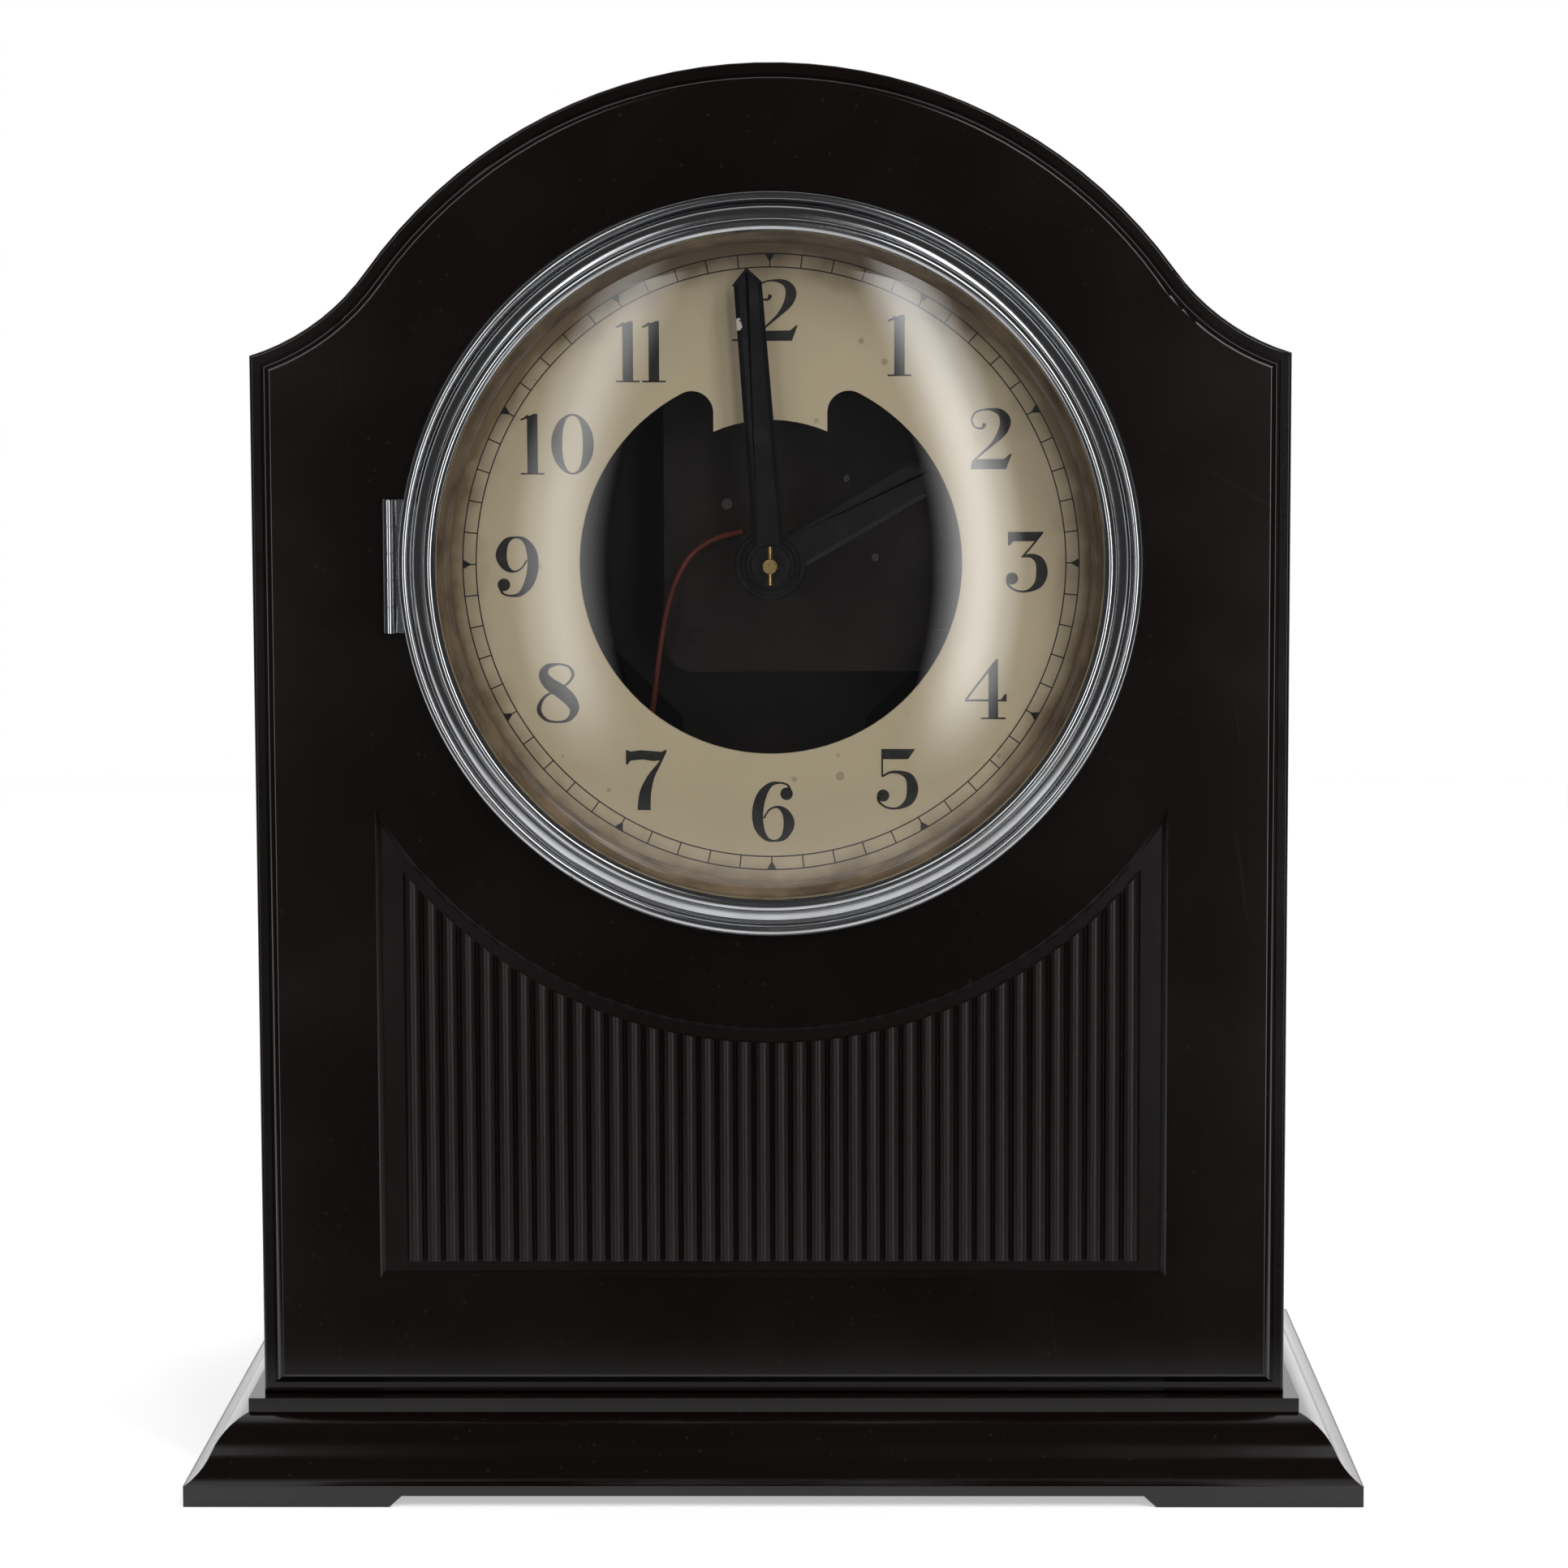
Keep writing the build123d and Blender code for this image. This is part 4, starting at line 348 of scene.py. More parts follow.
def phenolic(look):
    """Satin brown-black moulding with dulled patches, hair scratches and a faint moulded ripple."""
    material, tree, shader, place = surface("Moulded phenolic", roughness=look.roughness)
    dull = effect(tree, "patches", place, scale=38.0, detail=6.0, low=0.42, high=0.68)
    upright = effect(tree, "scratches", place, scale=900.0, turn=0.12, amount=0.35)
    slanted = effect(tree, "scratches", place, scale=1100.0, turn=1.05, amount=0.3)
    across = effect(tree, "scratches", place, scale=950.0, turn=-0.72, amount=0.25)
    marks = most(tree, upright, slanted, across)
    dust = effect(tree, "specks", place, scale=900.0, size=0.30)
    worn = most(tree, times(tree, dull, 0.4), times(tree, marks, 0.6))
    base = blended(tree, worn, look.body, look.haze)
    base = blended(tree, times(tree, dust, 0.3), base, (0.03, 0.026, 0.022))
    polished = graded(tree, dull, look.roughness - 0.01, look.roughness + 0.02)
    level = graded(tree, reeded(tree, place), polished, look.reeds)
    coat(tree, shader, base, maths(tree, "ADD", level, times(tree, marks, 0.05)))
    grain = effect(tree, "patches", place, scale=260.0, detail=3.0, low=0.3, high=0.7)
    rippled = maths(tree, "SUBTRACT", grain, times(tree, marks, 0.4))
    raised(tree, shader, rippled, millimetres=0.02, strength=0.06)
    return material


def plated(look):
    """Bright plating with tarnish spots and rubbed rings."""
    material, tree, shader, place = surface("Plated bezel", metallic=1.0, roughness=0.13)
    spots = effect(tree, "specks", place, scale=480.0, size=0.14)
    film = effect(tree, "patches", place, scale=90.0, detail=6.0, low=0.45, high=0.7)
    rubbed = effect(tree, "scratches", place, scale=1500.0, turn=0.5, amount=0.6)
    dull = most(tree, spots, times(tree, film, 0.35))
    rough = maths(tree, "ADD", graded(tree, dull, 0.13, 0.34), times(tree, rubbed, 0.08))
    coat(tree, shader, blended(tree, dull, look.plate, look.tarnish), rough)
    raised(tree, shader, maths(tree, "SUBTRACT", 1.0, spots), millimetres=0.02, strength=0.15)
    return material


def clear_glass():
    """Old clear glass that lets lamp light through to the dial."""
    material, tree, shader, _ = surface("Clear glass", roughness=0.0)
    shader.inputs["Base Color"].default_value = (0.985, 0.99, 0.985, 1)
    shader.inputs["Transmission Weight"].default_value = 1.0
    shader.inputs["IOR"].default_value = 1.52
    rays = tree.nodes.new("ShaderNodeLightPath").outputs
    mirrored = maths(tree, "SUBTRACT", rays["Is Glossy Ray"], rays["Is Transmission Ray"])
    passing = most(tree, rays["Is Shadow Ray"], rays["Is Diffuse Ray"], mirrored)
    open_glass = tree.nodes.new("ShaderNodeBsdfTransparent").outputs[0]
    mixed = add(tree, "ShaderNodeMixShader", {0: passing, 1: shader.outputs[0], 2: open_glass})
    tree.links.new(mixed.outputs[0], tree.nodes["Material Output"].inputs["Surface"])
    return material


def ring_lacquer(look):
    """Brown lacquer, pitted and dirty."""
    material, tree, shader, place = surface("Ring lacquer", specular=0.35)
    dirt = effect(tree, "patches", place, scale=150.0, detail=6.0, low=0.30, high=0.70)
    pits = effect(tree, "specks", place, scale=900.0, size=0.3)
    base = blended(tree, pits, blended(tree, dirt, look.dirt, look.ring), (0.22, 0.16, 0.10))
    coat(tree, shader, base, graded(tree, dirt, 0.75, 0.42))
    raised(tree, shader, maths(tree, "ADD", dirt, pits), millimetres=0.1, strength=0.5)
    return material


def dial_enamel(look):
    """Cream enamel, browned towards the rim and foxed, with painted shade of the bezel that widens the brown
    band at the top.
    """
    material, tree, shader, place = surface("Dial enamel", specular=0.35)
    radius = effect(tree, "dial radius", place)
    drift = effect(tree, "patches", place, scale=120.0, detail=7.0, low=0.2, high=0.8)
    height = add(tree, "ShaderNodeSeparateXYZ", {0: place}).outputs["Z"]
    # Painted shade: the brown band reaches further in at the top, where the bezel shades the dial from the
    # light above.
    painted_top_shade = span(tree, height, DIAL_LOW.z, DIAL_HIGH.z, -1.6, 2.4)
    uneven = times(tree, maths(tree, "SUBTRACT", drift, 0.5), 5.0)
    ragged = maths(tree, "ADD", maths(tree, "ADD", radius, uneven), painted_top_shade)
    rim = maths(tree, "POWER", span(tree, ragged, 47.5, 53.5), 1.4)
    clouds = effect(tree, "patches", place, scale=32.0, detail=5.0, low=0.45, high=0.75)
    foxing = effect(tree, "specks", place, scale=260.0, size=0.22)
    base = blended(tree, most(tree, rim, times(tree, clouds, 0.13)), look.enamel, look.patina_and_shade)
    base = blended(tree, times(tree, foxing, 0.45), base, look.patina_and_shade)
    coat(tree, shader, base, graded(tree, drift, 0.36, 0.55))
    raised(tree, shader, drift, millimetres=0.03, strength=0.3)
    return material


def ink(look):
    """Printed black, a little thin in places."""
    material, tree, shader, place = surface("Dial ink", specular=0.3)
    thin = effect(tree, "patches", place, scale=900.0, detail=4.0, low=0.55, high=0.85)
    base = blended(tree, times(tree, thin, 0.5), look.ink, (0.07, 0.06, 0.05))
    coat(tree, shader, base, graded(tree, thin, 0.45, 0.65))
    return material


def blued(look, chip=None):
    """Dark blued steel, rubbed on the flat. A chip at a point shows bare metal."""
    material, tree, shader, place = surface("Blued steel", specular=0.2)
    rubbed = effect(tree, "patches", place, scale=240.0, detail=6.0, low=0.5, high=0.78)
    hairs = effect(tree, "scratches", place, scale=2200.0, turn=0.08, amount=0.7)
    base = blended(tree, most(tree, times(tree, rubbed, 0.5), hairs), look.steel, look.wear)
    if chip is not None:
        reach = vector_maths(tree, "DISTANCE", place, chip)["Value"]
        uneven = times(tree, effect(tree, "patches", place, scale=1500.0), 0.4 * MM)
        bare = span(tree, maths(tree, "ADD", reach, uneven), 1.3 * MM, 1.1 * MM)
        base = blended(tree, bare, base, (0.55, 0.52, 0.47))
    coat(tree, shader, base, graded(tree, rubbed, 0.30, 0.46))
    return material


def metal(name, bright, dark, rough, metallic=1.0, specular=0.5):
    """Plain metal with brushed grain and dull stains."""
    material, tree, shader, place = surface(name, metallic, rough, specular)
    stains = effect(tree, "patches", place, scale=110.0, detail=7.0, low=0.4, high=0.72)
    hairs = effect(tree, "scratches", place, scale=1200.0, turn=0.9, amount=0.8)
    spots = effect(tree, "specks", place, scale=800.0, size=0.45)
    base = blended(tree, most(tree, times(tree, stains, 0.7), spots), bright, dark)
    stained = graded(tree, stains, rough - 0.07, rough + 0.14)
    coat(tree, shader, base, maths(tree, "ADD", stained, times(tree, hairs, 0.1)))
    raised(tree, shader, hairs, millimetres=0.02, strength=0.3)
    return material


def japanned():
    """Black stoving paint with an orange-peel skin."""
    material, tree, shader, place = surface("Black japan")
    skin = effect(tree, "patches", place, scale=700.0, detail=2.0, low=0.3, high=0.7)
    dust = effect(tree, "patches", place, scale=70.0, detail=6.0, low=0.5, high=0.8)
    base = blended(tree, times(tree, dust, 0.6), (0.012, 0.012, 0.013), (0.05, 0.045, 0.04))
    coat(tree, shader, base, graded(tree, dust, 0.26, 0.5))
    raised(tree, shader, skin, millimetres=0.04, strength=0.4)
    return material


def fibre():
    """Black pressed fibre of the bobbin."""
    material, tree, shader, place = surface("Bobbin fibre", specular=0.4)
    flecks = effect(tree, "patches", place, scale=900.0, detail=5.0, low=0.4, high=0.7)
    base = blended(tree, flecks, (0.012, 0.012, 0.012), (0.034, 0.031, 0.028))
    coat(tree, shader, base, graded(tree, flecks, 0.5, 0.7))
    raised(tree, shader, flecks, millimetres=0.05, strength=0.4)
    return material


def silk():
    """Green silk covering of the winding's wire."""
    material, tree, shader, place = surface("Silk-covered wire", specular=0.3)
    shader.inputs["Sheen Weight"].default_value = 0.35
    threads = effect(tree, "scratches", place, scale=5200.0, turn=0.35, amount=1.0)
    faded = effect(tree, "patches", place, scale=160.0, detail=5.0, low=0.4, high=0.7)
    base = blended(tree, faded, (0.030, 0.095, 0.050), (0.075, 0.150, 0.085))
    base = blended(tree, times(tree, threads, 0.5), base, (0.14, 0.21, 0.14))
    coat(tree, shader, base, graded(tree, faded, 0.55, 0.72))
    raised(tree, shader, threads, millimetres=0.03, strength=0.5)
    return material


def card():
    """Brown card sleeve of the cell."""
    material, tree, shader, place = surface("Cell card", specular=0.3)
    fibres = effect(tree, "scratches", place, scale=2600.0, turn=0.2, amount=0.9)
    stains = effect(tree, "patches", place, scale=70.0, detail=6.0, low=0.4, high=0.7)
    base = blended(tree, stains, (0.30, 0.19, 0.095), (0.19, 0.115, 0.055))
    base = blended(tree, times(tree, fibres, 0.4), base, (0.38, 0.27, 0.15))
    coat(tree, shader, base, graded(tree, stains, 0.62, 0.8))
    raised(tree, shader, fibres, millimetres=0.03, strength=0.4)
    return material


def rubber(name, fresh, perished):
    """Old rubber covering of a lead, dulled and finely cracked."""
    material, tree, shader, place = surface(name, specular=0.35)
    dull = effect(tree, "patches", place, scale=300.0, detail=6.0, low=0.4, high=0.7)
    cracks = effect(tree, "scratches", place, scale=3000.0, turn=1.5, amount=0.8)
    base = blended(tree, most(tree, dull, cracks), fresh, perished)
    coat(tree, shader, base, graded(tree, dull, 0.45, 0.7))
    raised(tree, shader, maths(tree, "SUBTRACT", 1.0, cracks), millimetres=0.05, strength=0.5)
    return material


def finish_of(slot):
    """The material of a slot or of the ink, made when it is first asked for."""
    name = f"Clock finish {slot}"
    if name not in bpy.data.materials:
        scene = bpy.context.scene
        made = {
            "phenolic": lambda: phenolic(scene.clock_case),
            "chrome": lambda: plated(scene.clock_bezel),
            "clear_glass": clear_glass,
            "sight_brown": lambda: ring_lacquer(scene.clock_bezel),
            "dial_cream": lambda: dial_enamel(scene.clock_dial),
            "ink": lambda: ink(scene.clock_dial),
            "hand_blue": lambda: blued(scene.clock_hands),
            "brass": lambda: metal("Lacquered brass", (0.62, 0.43, 0.17), (0.27, 0.16, 0.06), 0.30),
            "bronzed": lambda: metal(
                "Bronzed brass", (0.0100, 0.0062, 0.0046), (0.0052, 0.0036, 0.0030), 0.50, 0.0, 0.2
            ),
            "steel": lambda: metal("Dull steel", (0.115, 0.110, 0.105), (0.045, 0.038, 0.032), 0.42),
            "bracket_iron": japanned,
            "bobbin_black": fibre,
            "winding_green": silk,
            "cell_wrap": card,
            "lead_red": lambda: rubber("Red lead", (0.105, 0.018, 0.010), (0.055, 0.016, 0.010)),
            "lead_black": lambda: rubber("Black lead", (0.014, 0.014, 0.014), (0.040, 0.037, 0.034)),
        }[slot]()
        made.name = name
    return bpy.data.materials[name]


# Meshes

def piece_from(data, name, body, slot, material, *nodes):
    """Joins a finished mesh or curve to the clock: an object at the origin that rides on a body."""
    data.name = name
    data.materials.clear()
    data.materials.append(material)
    piece = bpy.data.objects.new(name, data)
    bpy.context.scene.collection.objects.link(piece)
    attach(piece, body)
    if nodes:
        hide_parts(*nodes)
    return piece


def made(node, data, material=None):
    """A finished mesh or curve in a solid's place, with the finish of the solid's slot or one of its own."""
    slot = SLOT_OF[node]
    return piece_from(data, f"{node}_finished", BODY_OF[node], slot, material or finish_of(slot), node)


def rim_angles(point):
    """Angles round the dial and over the rounded rim of the raised face at a point of it, or None off it."""
    across, up = point.x, point.z - DIAL_CENTRE.z
    out = math.hypot(across, up) - RIM_RADIUS + RIM_ROUND
    ahead = FACE_Y + RIM_ROUND - point.y
    if min(out, ahead) < -RIM_FIT or abs(math.hypot(out, ahead) - RIM_ROUND) > RIM_FIT:
        return None
    return math.atan2(across, up), math.atan2(out, ahead)


def relaid_rim(work, normals):
    """Lays the triangles of the raised face's rounded rim along the arch again, in even rows."""
    angles = {vert: rim_angles(vert.co) for vert in work.verts}
    old = [
        face for face in work.faces
        if all(angles[vert] for vert in face.verts) and any(angles[vert][1] > RIM_FLAT for vert in face.verts)
    ]
    verts = list(dict.fromkeys(vert for face in old for vert in face.verts))
    place = {vert: index for index, vert in enumerate(verts)}
    edges = dict.fromkeys(edge for face in old for edge in face.edges)
    border = [
        tuple(place[vert] for vert in edge.verts) for edge in edges
        if sum(face in old for face in edge.link_faces) == 1
    ]
    spread = [Vector(angles[vert]) for vert in verts]
    triangles, origins = delaunay_2d_cdt(spread, border, [], 1, MERGE)[2:4]
    bmesh.ops.delete(work, geom=old, context="FACES_ONLY")
    for corners in triangles:
        face = work.faces.new([verts[origins[corner][0]] for corner in corners])
        face.normal_update()
        for loop in face.loops:
            around, over = angles[loop.vert]
            loop[normals] = (
                math.sin(around) * math.sin(over), -math.cos(over), math.cos(around) * math.sin(over)
            )
        if face.normal.dot(face.loops[0][normals]) < 0:
            face.normal_flip()
    loose = [edge for edge in work.edges if not edge.link_faces]
    bmesh.ops.delete(work, geom=loose, context="EDGES")


def dressed(node):
    """A merged copy of a solid in its place, with its slot's finish and the solid's own smooth normals."""
    mesh = frame["nodes"][node].data.copy()
    exact = mesh.attributes.new("solid_normal", "FLOAT_VECTOR", "CORNER").data
    for corner, normal in enumerate(mesh.corner_normals):
        exact[corner].vector = normal.vector
    work = bmesh.new()
    work.from_mesh(mesh)
    bmesh.ops.remove_doubles(work, verts=work.verts, dist=MERGE)
    if node == "case_shell":
        relaid_rim(work, work.loops.layers.float_vector["solid_normal"])
    work.to_mesh(mesh)
    work.free()
    mesh.shade_smooth()
    kept = [item.vector.copy() for item in mesh.attributes["solid_normal"].data]
    for face in mesh.polygons:
        for corner in face.loop_indices:
            if kept[corner].angle(face.normal, 0) > STRAY:
                kept[corner] = face.normal.copy()
    mesh.attributes.remove(mesh.attributes["solid_normal"])
    mesh.normals_split_custom_set(kept)
    return made(node, mesh)


def dress(*nodes):
    """Finishes several solids."""
    for node in nodes:
        dressed(node)


def flat_mesh(points, faces):
    """A mesh, as drawn."""
    mesh = bpy.data.meshes.new("piece")
    mesh.from_pydata([tuple(point) for point in points], [], faces)
    return mesh


def mesh_of(points, faces):
    """A mesh whose faces point outwards."""
    mesh = flat_mesh(points, faces)
    work = bmesh.new()
    work.from_mesh(mesh)
    bmesh.ops.recalc_face_normals(work, faces=work.faces)
    work.to_mesh(mesh)
    work.free()
    return mesh


def joined(meshes):
    """Several meshes as one."""
    work = bmesh.new()
    for mesh in meshes:
        work.from_mesh(mesh)
        bpy.data.meshes.remove(mesh)
    whole = bpy.data.meshes.new("piece")
    work.to_mesh(whole)
    work.free()
    return whole


def turned(profile, centre, steps=64):
    """A turned shape about an axis along Y: profile points are (radius, y)."""
    points, faces = [], []
    for step in range(steps):
        angle = 2 * math.pi * step / steps
        points += [(centre.x + r * math.sin(angle), y, centre.z + r * math.cos(angle)) for r, y in profile]
    count = len(profile)
    for step in range(steps):
        here, there = step * count, (step + 1) % steps * count
        for number in range(count):
            after = (number + 1) % count
            faces.append((here + number, here + after, there + after, there + number))
    return mesh_of(points, faces)


def shaded(mesh, angle=35.0):
    """Smooth shading that keeps edges sharper than an angle."""
    mesh.shade_smooth()
    mesh.set_sharp_from_angle(angle=math.radians(angle))
    return mesh


# Bezel

# Corners of the bezel's section, each (radius, rise in front of the face) in millimetres.
BEZEL_LIP = (55.2, 5.3)
BEZEL_TORUS = (57.5, 5.0)
BEZEL_GROOVE = (59.9, 1.9)
BEZEL_EDGE = (62.0, 1.4)
BEZEL_BACK = [
    (62.0, 0.0), (61.3, 0.0), (61.3, 0.7), (60.25, 0.7), (58.2, 2.9), (58.2, 0.0), (56.75, 0.0),
    (56.75, -2.0), (56.05, -2.0), (56.05, 3.78), (55.2, 3.78),
]
BEAD_TOP = (56.35, 6.4)
SWELL_TOP = (59.05, 4.3)
ROLL_TOP = (60.95, 2.6)


def arc(start, middle, end, steps=16):
    """Points on the circle through three points, from the first up to the last, which is left out."""
    first, second, last = (complex(*point) for point in (start, middle, end))
    ratio = (last - first) / (second - first)
    centre = first + (second - first) * (ratio - abs(ratio) ** 2) / (2j * ratio.imag)
    half, whole = (cmath.phase((point - centre) / (first - centre)) for point in (second, last))
    if half * whole < 0:
        whole += math.copysign(2 * math.pi, half)
    points = [centre + (first - centre) * cmath.exp(1j * whole * step / steps) for step in range(steps)]
    return [(point.real, point.imag) for point in points]


def bezel_mesh():
    """The bezel turned in one piece: bead, torus, groove and outer roll."""
    section = arc(BEZEL_LIP, BEAD_TOP, BEZEL_TORUS) + arc(BEZEL_TORUS, SWELL_TOP, BEZEL_GROOVE)
    section += arc(BEZEL_GROOVE, ROLL_TOP, BEZEL_EDGE) + [BEZEL_EDGE, *BEZEL_BACK]
    profile = [(radius * MM, FACE_Y - rise * MM) for radius, rise in section]
    return shaded(turned(profile, DIAL_CENTRE, steps=240))


# Dial print

# Each digit stands in a field about its middle, of the height given first. A stroke is a line of
# (across, up, width) and never finer than the second value, a ball is (across, up, radius), and a shape is
# a closed outline.
FIELD = 10
FINEST = 0.2
SIX = {
    "strokes": [[
        (2.75, 3.7, 0.5), (2.3, 4.5, 0.35), (1.0, 4.82, 0.35), (-0.5, 4.5, 0.8), (-1.9, 2.8, 1.6),
        (-2.6, 0.2, 1.85), (-2.4, -2.5, 1.65), (-1.25, -4.4, 0.8), (0.3, -4.83, 0.34), (1.8, -4.1, 1.1),
        (2.6, -2.0, 1.85), (2.0, -0.1, 1.25), (0.7, 0.8, 0.42), (-0.7, 0.3, 0.3), (-1.6, -1.1, 0.3),
    ]],
    "balls": [(2.2, 3.0, 1.05)],
}
BOWL = [
    (0.9, 0.98, 0.75), (2.2, 0.1, 1.5), (2.62, -1.8, 1.9), (2.0, -3.7, 1.4), (0.3, -4.8, 0.45),
    (-1.5, -4.78, 0.35), (-2.85, -3.9, 0.4), (-3.1, -2.9, 0.5),
]
DIGITS = {
    "0": {
        "strokes": [[
            (2.6 * math.cos(turn), 4.84 * math.sin(turn), 0.32 + 1.5 * math.cos(turn) ** 2)
            for turn in (math.pi * step / 12 for step in range(25))
        ]],
    },
    "1": {
        "strokes": [[(-1.9, 4.0, 0.3), (-1.3, 4.25, 0.35), (-0.6, 4.65, 0.6)]],
        "shapes": [
            [(-0.87, -4.8), (0.87, -4.8), (0.87, 5.0), (0.3, 5.0), (-0.87, 4.5)],
            [(-1.95, -5.0), (1.95, -5.0), (1.95, -4.72), (-1.95, -4.72)],
        ],
    },
    "2": {
        "strokes": [[
            (-1.0, 2.5, 0.75), (-1.45, 1.75, 0.4), (-2.5, 1.9, 0.3), (-3.15, 3.0, 0.3), (-2.5, 4.35, 0.3),
            (-0.6, 4.83, 0.34), (1.4, 4.4, 1.05), (2.35, 3.0, 1.8), (1.9, 1.2, 1.5), (0.4, -0.7, 0.65),
            (-1.6, -2.5, 0.36), (-3.1, -3.9, 0.36),
        ]],
        "shapes": [[
            (-3.3, -5.0), (2.5, -5.0), (3.45, -2.5), (3.15, -2.5), (2.2, -3.3), (-2.5, -3.35), (-3.3, -4.3),
        ]],
    },
    "3": {
        "strokes": [[(2.7, 4.85, 0.32), (0.6, 2.2, 0.32), (-0.65, 0.8, 0.32)], [(-0.75, 0.85, 0.3), *BOWL]],
        "balls": [(-2.3, -2.75, 1.0)],
        "shapes": [[(-3.0, 4.95), (-3.0, 2.7), (-2.65, 2.7), (-2.1, 3.4), (1.5, 3.4), (2.9, 4.95)]],
    },
    "4": {
        "strokes": [[(1.75, 4.85, 0.4), (-0.8, 1.6, 0.36), (-3.4, -1.8, 0.36)]],
        "shapes": [
            [(0.35, 3.0), (0.35, -4.8), (1.95, -4.8), (1.95, 5.0), (1.7, 5.0)],
            [(-3.6, -2.05), (3.35, -2.05), (3.35, -0.8), (3.1, -0.8), (2.4, -1.7), (-3.4, -1.7)],
            [(-0.9, -5.0), (3.2, -5.0), (3.2, -4.72), (-0.9, -4.72)],
        ],
    },
    "5": {
        "strokes": [[(-2.35, 0.45, 0.35), (-0.9, 1.15, 0.4), *BOWL]],
        "balls": [(-2.25, -2.75, 1.02)],
        "shapes": [[(-2.55, 5.0), (-2.55, 0.35), (-2.25, 0.35), (-2.25, 3.3), (1.9, 3.3), (3.1, 5.0)]],
    },
    "6": SIX,
    "7": {
        "strokes": [[
            (3.25, 4.8, 0.3), (2.2, 2.8, 0.5), (0.8, 0.6, 1.15), (-0.1, -1.8, 1.85), (-0.35, -3.6, 2.1),
            (-0.4, -5.0, 2.2),
        ]],
        "shapes": [[
            (-3.4, 5.0), (-3.4, 2.6), (-3.1, 2.6), (-2.6, 3.25), (-0.6, 3.45), (1.2, 3.15), (2.3, 3.3),
            (3.45, 5.0), (3.1, 5.0), (2.5, 4.7), (0.8, 4.85), (-1.0, 5.0), (-2.6, 4.75), (-3.1, 5.0),
        ]],
    },
    "8": {
        "strokes": [[
            (0.2, 4.83, 0.34), (-1.6, 4.4, 0.9), (-2.3, 3.1, 1.6), (-1.4, 1.6, 2.1), (0.5, 0.3, 2.3),
            (2.1, -1.2, 2.1), (2.75, -2.8, 1.5), (1.8, -4.4, 0.7), (0.0, -4.83, 0.34), (-2.0, -4.4, 0.5),
            (-3.1, -2.8, 0.75), (-2.3, -0.8, 0.5), (-0.4, 0.4, 0.36), (1.7, 1.6, 0.4), (2.55, 3.1, 0.55),
            (1.8, 4.4, 0.4), (0.2, 4.83, 0.34),
        ]],
    },
    "9": {
        "strokes": [[(-across, -up, wide) for across, up, wide in SIX["strokes"][0]]],
        "balls": [(-across, -up, size) for across, up, size in SIX["balls"]],
    },
}

# How far each digit of a two-digit number stands from the number's middle, and each number's middle
# in millimetres from the dial's.
SETTING = {"10": (-4.3, 2.3), "11": (-2.15, 2.15), "12": (-2.7, 2.7)}
NUMBER_PLACES = {
    "1": (21.5, 36.2), "2": (36.7, 20.7), "3": (42.6, 0.2), "4": (36.0, -21.1),
    "5": (21.0, -36.2), "6": (0.3, -41.7), "7": (-21.0, -36.3), "8": (-35.8, -21.6),
    "9": (-42.4, -0.4), "10": (-35.3, 20.0), "11": (-21.5, 35.3), "12": (-1.6, 42.1),
}


# In the minute track, the pieces of a line and how far they overlap, a wedge's share of the track's width,
# and the share of a wedge that stands in from the outer line.
LINE_PIECES, OVERLAP = 240, 1.01
WEDGE_SHARE, WEDGE_IN = 0.42, 0.55


def smooth_line(points, steps=7):
    """Points on a smooth line through the given ones, each with its width."""
    ends = [points[0], *points, points[-1]]
    line = []
    for before, start, end, after in zip(ends, ends[1:], ends[2:], ends[3:]):
        for step in range(steps):
            t = step / steps
            line.append(tuple(
                0.5 * (2 * b + (c - a) * t + (2 * a - 5 * b + 4 * c - d) * t * t
                       + (3 * b - a - 3 * c + d) * t ** 3)
                for a, b, c, d in zip(before, start, end, after)
            ))
    return [*line, points[-1]]


def stroke_band(points):
    """Corners of a pen stroke of changing width, in pairs along it."""
    line = smooth_line(points)
    band = []
    for number, (across, up, wide) in enumerate(line):
        before, after = line[max(number - 1, 0)], line[min(number + 1, len(line) - 1)]
        along = Vector((after[0] - before[0], after[1] - before[1])).normalized()
        side = Vector((-along.y, along.x)) * max(wide, FINEST) / 2
        band += [(across + side.x, up + side.y), (across - side.x, up - side.y)]
    return band


def ball_outline(across, up, size, count=24):
    """Corners of a printed dot."""
    turns = [2 * math.pi * number / count for number in range(count)]
    return [(across + size * math.cos(turn), up + size * math.sin(turn)) for turn in turns]


def printed(meshes, film):
    """Flat print as one closed film in front of the dial."""
    whole = joined(meshes)
    work = bmesh.new()
    work.from_mesh(whole)
    bmesh.ops.triangulate(work, faces=work.faces)
    back = [vert.co.copy() for vert in work.verts]
    front = [point - Vector((0, film, 0)) for point in back]
    flat = [[vert.index for vert in face.verts] for face in work.faces]
    sides = [[vert.index for vert in edge.verts] for edge in work.edges if edge.is_boundary]
    work.free()
    bpy.data.meshes.remove(whole)
    count = len(back)
    faces = flat + [[corner + count for corner in corners] for corners in flat]
    faces += [[first, second, second + count, first + count] for first, second in sides]
    return mesh_of(back + front, faces)


def digit_parts(digit):
    """The flat parts of a digit, each with its corners and its faces."""
    glyph = DIGITS[digit]
    for band in map(stroke_band, glyph["strokes"]):
        yield band, [(n, n + 1, n + 3, n + 2) for n in range(0, len(band) - 2, 2)]
    for corners in [ball_outline(*ball) for ball in glyph.get("balls", [])] + glyph.get("shapes", []):
        yield corners, [tuple(range(len(corners)))]


def number_meshes(text, centre, size):
    """The flat meshes of one hour number, upright about its centre."""
    meshes = []
    for digit, shift in zip(text, SETTING.get(text, (0.0,))):
        for corners, faces in digit_parts(digit):
            points = [centre + Vector(((across + shift) * size, 0, up * size)) for across, up in corners]
            meshes.append(flat_mesh(points, faces))
    return meshes


